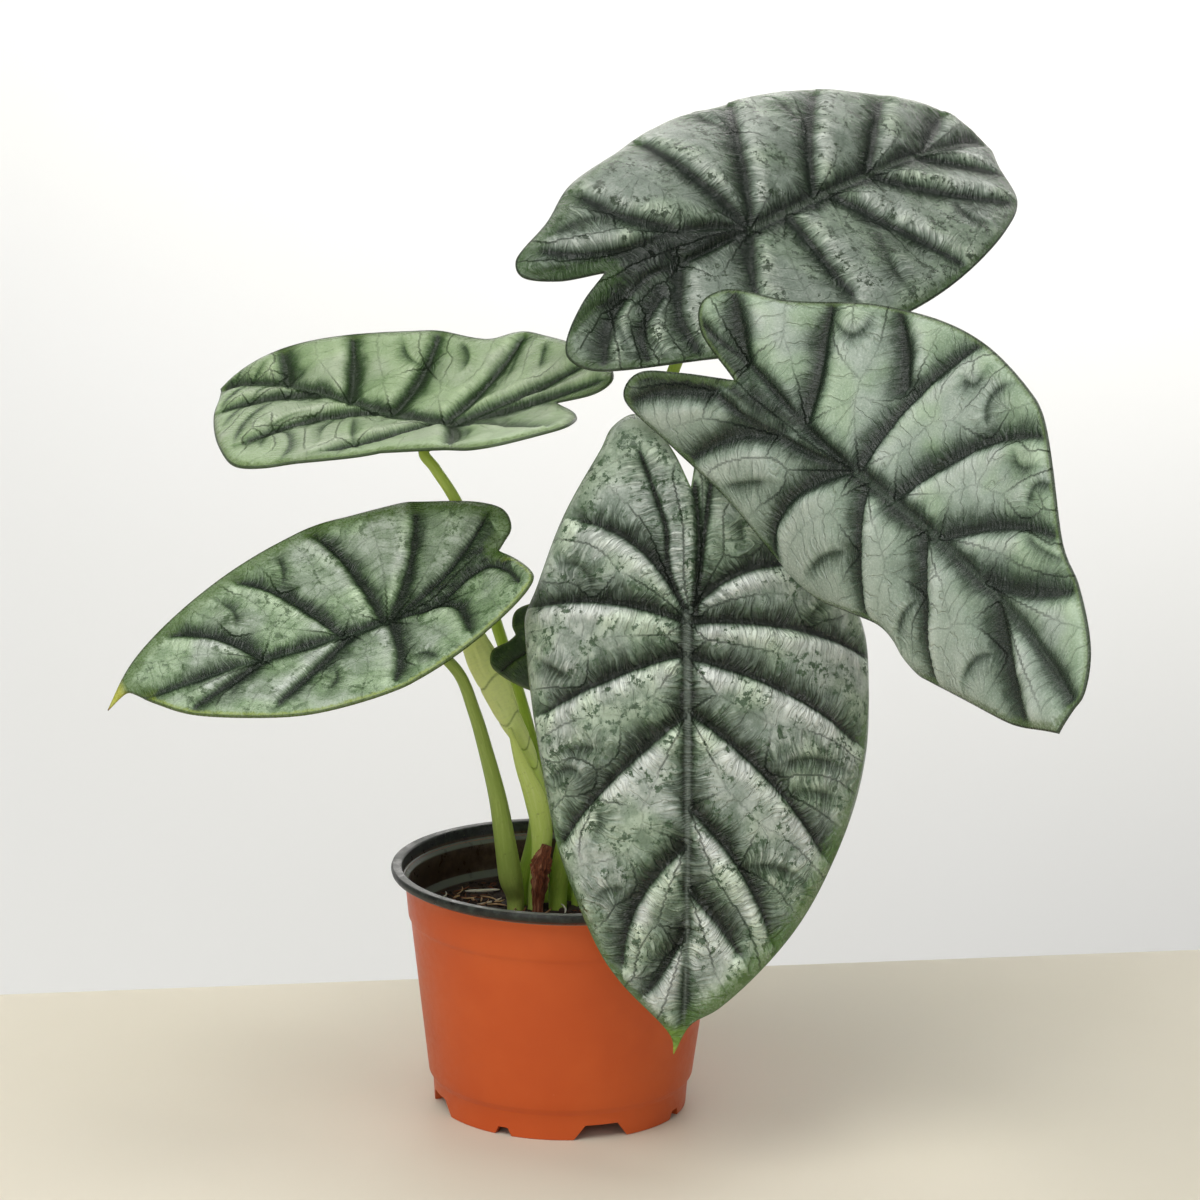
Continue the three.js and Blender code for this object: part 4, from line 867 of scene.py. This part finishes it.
def build_mix(material):
    """The mound of peat, with crumbs, threads and the pale fibres lying on it as part of one mesh."""
    holes = [spec["foot"] for spec in (*STALKS.values(), FURLED, SHEATH, CATAPHYLL)]
    angle = np.arange(MIX_SIDES) / MIX_SIDES * 2 * np.pi
    mound = np.concatenate([ring(MIX_RADIUS * k / MIX_RINGS, 0, angle) for k in range(1, MIX_RINGS + 1)])
    mound[:, 2] = mix_height(mound[:, 0], mound[:, 1])
    for x, y, radius in holes:
        gap = np.maximum(np.hypot(mound[:, 0] - x, mound[:, 1] - y) - radius, 0)
        mound[:, 2] -= HOLE_SINK * fall(gap, HOLE_EASE)
    points = [(0, 0, mix_height(0, 0)[0]), *mound]
    for radius, height in MIX_BASE:
        points += list(ring(radius, height, angle))
    points.append((0, 0, MIX_BASE[-1][1]))
    # from the top down, so each face is turned round
    faces = [(f[0], *f[:0:-1]) for f in closed_faces(MIX_RINGS + len(MIX_BASE), MIX_SIDES)]
    tint = [0.0] * len(points)
    rng = np.random.default_rng(17)

    def strand(centre, heading, tilt, length, thick, curl, shade, sides=5, steps=6):
        """A thread that thins towards both ends and bows sideways."""
        first = len(points)
        ahead = np.array([math.cos(heading), math.sin(heading), 0])
        across = np.array([-ahead[1], ahead[0], 0])
        for s in np.linspace(-0.5, 0.5, steps):
            bow = curl * (s * s * 4 - 1) * length * 0.15
            core = centre + ahead * s * length + across * bow + np.array([0, 0, s * length * tilt])
            r = thick * (1 - 0.75 * (2 * abs(s)) ** 3)
            for a in np.arange(sides) / sides * 2 * math.pi:
                points.append(core + across * r * math.cos(a) + np.array([0, 0, r * math.sin(a)]))
        tint.extend([shade] * sides * steps)
        for row in range(first, first + (steps - 1) * sides, sides):
            for k in range(sides):
                a, b = row + k, row + (k + 1) % sides
                faces.append((a, b, b + sides, a + sides))
        faces.append(tuple(range(first, first + sides))[::-1])
        faces.append(tuple(range(len(points) - sides, len(points))))

    ball = bmesh.new()
    bmesh.ops.create_icosphere(ball, subdivisions=1, radius=1)
    ball_points = np.array([v.co[:] for v in ball.verts])
    ball_faces = [[v.index for v in f.verts] for f in ball.faces]
    ball.free()

    def crumb(centre, size, shade):
        """A dented ball, stretched and turned at random."""
        faces.extend(tuple(len(points) + k for k in f) for f in ball_faces)
        verts = ball_points * size * (0.75 + 0.5 * rng.random((len(ball_points), 1)))
        verts *= rng.uniform(0.6, 1.25, 3)
        spin = Matrix.Rotation(rng.uniform(0, 6.28), 3, Vector(rng.normal(size=3)).normalized())
        points.extend(centre + p for p in verts @ np.array(spin))
        tint.extend([shade] * len(verts))

    def free_spot(margin, clear, lift, room):
        """A random spot on the mound, away from the wall and the stalks and under the ceiling."""
        while True:
            r, a = (MIX_RADIUS - margin) * math.sqrt(rng.random()), rng.uniform(0, 2 * math.pi)
            x, y = r * math.cos(a), r * math.sin(a)
            if all(math.hypot(x - hx, y - hy) > radius + clear for hx, hy, radius in holes):
                return np.array([x, y, min(mix_height(x, y)[0] + lift, MIX_CEILING - room)])

    for _ in range(CRUMBS):
        size = rng.uniform(0.35, 1.25) * (1.35 if rng.random() < 0.12 else 1)
        crumb(free_spot(2.2, 2.2, 0.15 * size, size), size, rng.uniform(0.02, 0.3))
    for _ in range(THREADS):
        length = rng.uniform(2.5, 9)
        spot = free_spot(1 + length / 2, 1 + length / 2, 0.35, 0.4)
        strand(spot, rng.uniform(0, 6.28), rng.uniform(-0.08, 0.1), length, rng.uniform(0.1, 0.24),
               rng.uniform(-1, 1), rng.uniform(0.35, 0.8))
    for _ in range(PALE_THREADS):
        strand(free_spot(4, 3, 0.5, 0.6), rng.uniform(0, 6.28), rng.uniform(-0.1, 0.15), rng.uniform(2, 5),
               rng.uniform(0.25, 0.5), 0.2, 1.0)
    for x1, y1, x2, y2, thick, bow, shade in FIBRES:
        x, y, length = (x1 + x2) / 2, (y1 + y2) / 2, math.hypot(x2 - x1, y2 - y1)
        level = min(mix_height(x, y)[0] + 1.3, MIX_CEILING - 0.2 - thick)
        heading = math.atan2(y2 - y1, x2 - x1)
        strand(np.array([x, y, level]), heading, 0.02, length, thick, bow, shade, 6, 12)
    piece = new_object("peat_mix", points, faces, material)
    add_attribute(piece, "tint", np.array(tint))
    settle(piece, "potting_mix")


# Materials

class Shader:
    """Node building in short words: each call makes its nodes and returns their output.

    A colour is three numbers from 0 to 255, as a screen shows it.
    """

    def __init__(self, name):
        self.material = bpy.data.materials.new(name)
        self.material.use_nodes = True
        self.tree = self.material.node_tree
        self.tree.nodes.clear()
        self.skin = self.node("ShaderNodeBsdfPrincipled")
        self.feed(self.node("ShaderNodeOutputMaterial").inputs[0], self.skin.outputs[0])

    def node(self, kind, inputs=(), **settings):
        """A node with these settings; its inputs come as a list in order, or by name or number."""
        node = self.tree.nodes.new(kind)
        for key, value in settings.items():
            setattr(node, key, value)
        for key, value in inputs.items() if isinstance(inputs, dict) else enumerate(inputs):
            self.feed(node.inputs[key], value)
        return node

    def feed(self, socket, value):
        if isinstance(value, bpy.types.NodeSocket):
            self.tree.links.new(value, socket)
        else:
            socket.default_value = colour(*value) if isinstance(value, tuple) else value

    def attribute(self, name, output="Vector"):
        return self.node("ShaderNodeAttribute", attribute_name=name).outputs[output]

    def parts(self, vector):
        return self.node("ShaderNodeSeparateXYZ", [vector]).outputs

    def place(self):
        return self.node("ShaderNodeTexCoord").outputs["Object"]

    def join(self, x, y, z=0.0):
        return self.node("ShaderNodeCombineXYZ", [x, y, z]).outputs[0]

    def math(self, operation, *values):
        return self.node("ShaderNodeMath", values, operation=operation).outputs[0]

    def times(self, a, b):
        return self.math("MULTIPLY", a, b)

    def plus(self, first, *others):
        for other in others:
            first = self.math("ADD", first, other)
        return first

    def step(self, value, low, high, to_low=0.0, to_high=1.0):
        inputs = [value, low, high, to_low, to_high]
        return self.node("ShaderNodeMapRange", inputs, interpolation_type="SMOOTHSTEP").outputs[0]

    def noise(self, vector, scale, detail, rough=0.55, output=0):
        inputs = {"Vector": vector, "Scale": scale, "Detail": detail, "Roughness": rough}
        return self.node("ShaderNodeTexNoise", inputs).outputs[output]

    def cells(self, vector, scale, feature="F1"):
        inputs = {"Vector": vector, "Scale": scale}
        return self.node("ShaderNodeTexVoronoi", inputs, feature=feature).outputs[0]

    def mix(self, share, a, b, blend="MIX"):
        inputs = {0: share, 6: a, 7: b}
        return self.node("ShaderNodeMix", inputs, data_type="RGBA", blend_type=blend).outputs[2]

    def over(self, base, value, low, high, top, share=1.0):
        """The base, with more of the top colour as the value goes from low to high."""
        return self.mix(self.step(value, low, high, 0.0, share), base, top)

    def ramp(self, value, spots, shades):
        node = self.node("ShaderNodeValToRGB", [value])
        stops = node.color_ramp.elements
        for k, (spot, shade) in enumerate(zip(spots, shades)):
            stop = stops[k] if k < 2 else stops.new(spot)
            stop.position, stop.color = spot, colour(*shade)
        return node.outputs[0]

    def bump(self, height, strength, distance):
        inputs = {"Strength": strength, "Distance": distance, "Height": height}
        return self.node("ShaderNodeBump", inputs).outputs[0]

    def finish(self, base, rough, shine=0.5, normal=None):
        for key, value in (("Base Color", base), ("Roughness", rough), ("Specular IOR Level", shine)):
            self.feed(self.skin.inputs[key], value)
        if normal is not None:
            self.feed(self.skin.inputs["Normal"], normal)
        return self.material


def colour(r, g, b):
    """Screen colour, 0 to 255, to the linear colour that a shader takes."""
    c = np.array([r, g, b]) / 255
    c = np.where(c <= 0.04045, c / 12.92, ((c + 0.055) / 1.055) ** 2.4)
    return (*c, 1.0)


def blade_material(name, look):
    s = Shader(name)
    along, away, rib = s.parts(s.attribute("vein"))
    dark, crest_highlight, edge = s.parts(s.attribute("tone"))
    ahead, left, line_dark = s.parts(s.attribute("place"))
    flat = s.join(ahead, left)
    # noises: broad patches, specks, and streaks that run away from the veins
    broad = s.noise(flat, 0.04, 2)
    patch = s.step(s.noise(flat, 0.17, 4, 0.62), 0.38, 0.64)
    speck = s.noise(flat, 1.3, 4, 0.7)
    lean = s.times(s.plus(s.noise(flat, 0.09, 1), -0.5), 9.0)
    strokes = s.join(s.times(s.plus(along, lean), 1.05), s.times(away, 0.11), 3.0)
    # light streaks near the veins: the feathered edge of the dark bands, and painted highlights on the
    # wrinkles that the bump below raises from the same streaks
    streak = s.step(s.noise(strokes, 1.0, 3, 0.5), 0.38, 0.62)
    near = s.step(away, 10.0, 3.0)
    # how light the surface is: patches, streaks, specks, the painted highlights on the crests, bands and the
    # lines in them
    light = s.plus(s.times(s.plus(patch, -0.5), look["patches"]),
                   s.times(s.plus(streak, -0.5), s.times(near, look["feather"])),
                   s.times(s.plus(speck, -0.5), 0.25), s.times(crest_highlight, look["crest_highlight"]),
                   s.times(dark, -look["depth"]), s.times(line_dark, -0.2), look["level"])
    base = s.ramp(light, look["spots"], look["shades"])
    # a green cast in broad patches and near the edge
    green = s.plus(broad, s.step(edge, 16.0, 0.0, 0.0, 0.14))
    green = s.step(green, 0.44, 0.62, 0.0, look["green"])
    if "green_side" in look:
        green = s.times(green, s.step(left, -14.0, 12.0, 0.1, 1.0))
    base = s.mix(green, base, (231, 255, 206), "MULTIPLY")
    # dark green flecks in loose clusters
    if "flecks" in look:
        strength, rare, fleck = look["flecks"]
        cluster = s.step(s.noise(flat, 0.08, 3, 0.6), rare, rare + 0.1, 0.0, strength)
        jag = s.noise(s.join(ahead, left, 7.0), 0.34, 4, 0.78)
        flecks = s.times(s.times(s.step(jag, 0.535, 0.56), cluster), s.step(dark, 0.5, 0.25))
        base = s.mix(flecks, base, fleck)
    # a ragged green margin and a thin line at the edge, on most leaves dark as painted shade of the leaf's
    # side
    (left_width, left_green), (right_width, right_green) = look["margins"]
    width = s.step(left, -3.0, 3.0, right_width, left_width)
    ragged = s.plus(s.math("DIVIDE", edge, width), s.times(s.noise(flat, 0.4, 4, 0.7), -2.2))
    band = s.step(ragged, 0.5, -0.5, 0.0, 0.9)
    if "margin_from" in look:
        band = s.times(band, s.step(ahead, look["margin_from"] - 8.0, look["margin_from"] + 8.0))
    margin = s.mix(s.step(left, -3.0, 3.0), right_green, left_green)
    base = s.mix(band, base, s.mix(s.step(speck, 0.3, 0.7), margin, s.mix(0.4, margin, base)))
    # the edge line covers the wall round the rim too; on most leaves it is painted shade, on d a paler line
    # for its rolled margin
    base = s.over(base, edge, 0.85, 0.35, look["edge_line"], 0.85)
    if "tip" in look:
        first, warm, last = look["tip"]
        base = s.over(base, ahead, first - 3.0, first + 1.0, warm)
        base = s.over(base, ahead, first + 4.0, first + 6.5, last)
    # the raised midrib, then tiny pale dust
    base = s.mix(s.times(rib, 0.8), base, look["rib"])
    dust = s.times(s.step(s.cells(flat, 0.9), 0.075, 0.045), s.step(s.noise(flat, 0.3, 2), 0.52, 0.6))
    base = s.mix(s.times(dust, 0.5), base, (176, 188, 170))
    # bump: streaks near the veins, a fine net, grain, and cross veins at even steps along the veins
    jitter = s.noise(flat, 0.5, 2, 0.5, "Color")
    warped = s.node("ShaderNodeVectorMath", [flat, jitter], operation="ADD").outputs[0]
    net = s.step(s.cells(warped, look["cell"], "DISTANCE_TO_EDGE"), 0.0, 0.16, 0.0, look["net"])
    cross = s.plus(s.math("DIVIDE", along, 5.4), s.times(s.noise(flat, 0.11, 2), 1.6))
    cross = s.step(s.math("PINGPONG", cross, 0.5), 0.075, 0.02, 0.0, -look["cross_sink"])
    height = s.plus(s.times(streak, s.times(near, look["wrinkle"])), net, s.times(speck, 0.5),
                    s.times(cross, s.step(away, 2.0, 4.0)))
    rough = s.plus(s.times(speck, 0.2), look["gloss"])
    return s.finish(base, rough, 0.55, s.bump(height, 0.9, 0.0006))


def underside_material():
    s = Shader("leaf_underside")
    away = s.parts(s.attribute("vein"))[1]
    tone = s.noise(s.attribute("place"), 0.25, 4, 0.6)
    base = s.over((122, 142, 96), tone, 0.35, 0.7, (146, 162, 122))
    base = s.over(base, away, 2.4, 0.4, (160, 172, 118), 0.6)
    return s.finish(base, 0.5, normal=s.bump(s.step(away, 1.8, 0.2), 0.5, 0.0006))


def round_body(s, stretch):
    """Noise coordinates that close round a stalk, stretched along it."""
    run, angle, _ = s.parts(s.attribute("sweep"))
    return s.join(s.math("COSINE", angle), s.math("SINE", angle), s.times(run, stretch))


def stalk_material(name, low, high, streak):
    s = Shader(name)
    share = s.parts(s.attribute("sweep"))[2]
    lines = s.noise(round_body(s, 0.03), 5.0, 4, 0.6)
    spots = s.noise(round_body(s, 0.35), 2.6, 4, 0.65)
    base = s.over(low, share, 0.05, 0.95, high)
    base = s.over(base, lines, 0.45, 0.7, streak, 0.5)
    base = s.over(base, spots, 0.58, 0.74, (96, 104, 52), 0.35)
    return s.finish(base, 0.42, normal=s.bump(lines, 0.35, 0.0004))


def furled_material():
    s = Shader("young_leaf")
    run, angle, share = s.parts(s.attribute("sweep"))
    tone = s.noise(round_body(s, 0.08), 3.0, 4, 0.6)
    slant = s.noise(s.join(angle, s.times(run, 0.6)), 2.2, 4, 0.6)
    base = s.over((220, 242, 132), share, 0.3, 0.6, (238, 249, 164))
    base = s.over(base, slant, 0.42, 0.66, (224, 236, 164), 0.4)
    base = s.over(base, tone, 0.55, 0.75, (176, 204, 92), 0.35)
    # painted shade along the pressed creases
    base = s.mix(s.times(s.attribute("crease_shade", "Fac"), 0.75), base, (96, 124, 44))
    return s.finish(base, 0.4, normal=s.bump(slant, 0.4, 0.0004))


def dry_material():
    s = Shader("dry_sheath_paper")
    skin = round_body(s, 0.06)
    fibre = s.noise(skin, 9.0, 4, 0.7)
    base = s.over((92, 44, 26), fibre, 0.35, 0.7, (164, 92, 54))
    # pale pinkish patches: painted highlights on the crumpled skin
    base = s.over(base, s.noise(skin, 2.0, 4, 0.6), 0.5, 0.66, (214, 150, 116), 0.7)
    base = s.over(base, s.noise(skin, 16.0, 3, 0.6), 0.6, 0.68, (46, 24, 16), 0.8)
    return s.finish(base, 0.62, normal=s.bump(fibre, 0.9, 0.0008))


def peat_material():
    s = Shader("peat")
    tint = s.attribute("tint", "Fac")
    crumbs = s.noise(s.place(), 900.0, 5, 0.7)
    clods = s.noise(s.place(), 160.0, 4, 0.6)
    base = s.over((24, 17, 14), crumbs, 0.35, 0.7, (66, 48, 37))
    base = s.over(base, clods, 0.5, 0.7, (46, 31, 24), 0.6)
    base = s.over(base, tint, 0.3, 0.75, (118, 66, 38))
    base = s.over(base, tint, 0.8, 1.0, (186, 150, 112))
    base = s.over(base, tint, 1.05, 1.15, (226, 220, 206))
    normal = s.bump(s.plus(crumbs, s.times(clods, 0.7)), 0.8, 0.0009)
    return s.finish(base, s.step(crumbs, 0.3, 0.8, 0.7, 0.95), 0.3, normal)


def terracotta_material():
    s = Shader("terracotta_plastic")
    cloud = s.noise(s.place(), 30.0, 3, 0.6)
    grain = s.noise(s.place(), 2600.0, 3, 0.6)
    scuff = s.noise(s.place(), 420.0, 5, 0.75)
    base = s.over((198, 84, 32), cloud, 0.35, 0.7, (205, 91, 37))
    base = s.over(base, scuff, 0.66, 0.74, (216, 128, 84), 0.35)
    return s.finish(base, s.step(scuff, 0.3, 0.8, 0.36, 0.5), 0.32, s.bump(grain, 0.12, 0.0002))


def black_plastic_material():
    """Black plastic: a painted greenish sheen in patches on the rim, brown with peat dust inside, painted
    highlights on the ledges.
    """
    s = Shader("dark_plastic")
    height = s.parts(s.place())[2]
    dust = s.noise(s.place(), 240.0, 5, 0.7)
    # on the rim the lighter greenish patches are painted sheen; the same noise gives the peat dust inside
    rim = s.over((26, 28, 24), dust, 0.45, 0.65, (76, 84, 78), 0.4)
    wall = s.over((62, 46, 36), dust, 0.45, 0.65, (96, 78, 64), 0.5)
    base = s.over(wall, height, 0.0768, 0.0776, rim)
    # pale lines on the two inner ledges: painted highlights where the steps catch the light
    for low, high in ((0.0744, 0.0766), (0.0630, 0.0655)):
        ledge_highlight = s.times(s.step(height, low, low + 0.0004), s.step(height, high, high - 0.0004, 0.0, 0.55))
        base = s.mix(ledge_highlight, base, (122, 132, 124))
    return s.finish(base, s.step(dust, 0.3, 0.7, 0.24, 0.5), 0.35, s.bump(dust, 0.15, 0.0003))


def stage_material(name, light, dark, scale, rough):
    s = Shader(name)
    base = s.over(light, s.noise(s.place(), scale, 3, 0.5), 0.3, 0.7, dark)
    return s.finish(base, rough, 0.1)


# Stage, camera and light, in metres from the pot's axis

def place_camera():
    scene = bpy.context.scene
    camera = bpy.data.objects.new("camera", bpy.data.cameras.new("camera"))
    scene.collection.objects.link(camera)
    tilt, heading, roll = (math.radians(angle) for angle in CAMERA_ANGLES)
    turn = Matrix.Rotation(heading, 4, "Z") @ Matrix.Rotation(tilt, 4, "X") @ Matrix.Rotation(roll, 4, "Z")
    camera.matrix_world = Matrix.Translation(Vector(AXIS) + Vector(CAMERA_PLACE)) @ turn
    camera.data.lens, camera.data.sensor_width = CAMERA_LENS, CAMERA_SENSOR
    camera.data.clip_start, camera.data.clip_end = 0.05, 20
    scene.camera = camera


def build_stage():
    for name, corners, material in (
            ("table", TABLE, stage_material("table_top", (220, 213, 196), (217, 210, 192), 6, 0.55)),
            ("wall", WALL, stage_material("wall_paint", (247, 246, 242), (246, 245, 240), 1.5, 0.9))):
        sheet = new_object(name, 1000 * np.array(corners), [(0, 1, 2, 3)], material)


def light_scene():
    scene = bpy.context.scene
    for name, location, target, size, power, tone in LAMPS:
        light = bpy.data.lights.new(name, "AREA")
        light.shape, light.size, light.energy, light.color = "DISK", size, power, tone
        lamp = bpy.data.objects.new(name, light)
        scene.collection.objects.link(lamp)
        aim = Vector(target) - Vector(location)
        turn = aim.to_track_quat("-Z", "Y").to_matrix().to_4x4()
        lamp.matrix_world = Matrix.Translation(Vector(AXIS) + Vector(location)) @ turn
    world = bpy.data.worlds.new("soft_room")
    scene.world = world
    world.use_nodes = True
    shade, strength = world.node_tree.nodes["Background"].inputs[:2]
    shade.default_value, strength.default_value = ROOM_TONE, ROOM_LIGHT
    scene.view_settings.view_transform = "Standard"


underside = underside_material()
for blade, own_look in BLADE_LOOKS.items():
    build_blade(blade, COMMON_LOOK | own_look, underside)
for stalk, skin in STALK_LOOKS.items():
    build_stalk(stalk, stalk_material(f"stalk_{stalk}_skin", *skin))
build_furled(furled_material())
build_sheath(stalk_material("green_sheath_skin", *SHEATH_LOOK))
build_cataphyll(dry_material())
build_pot(terracotta_material(), black_plastic_material())
build_mix(peat_material())
place_camera()
build_stage()
light_scene()
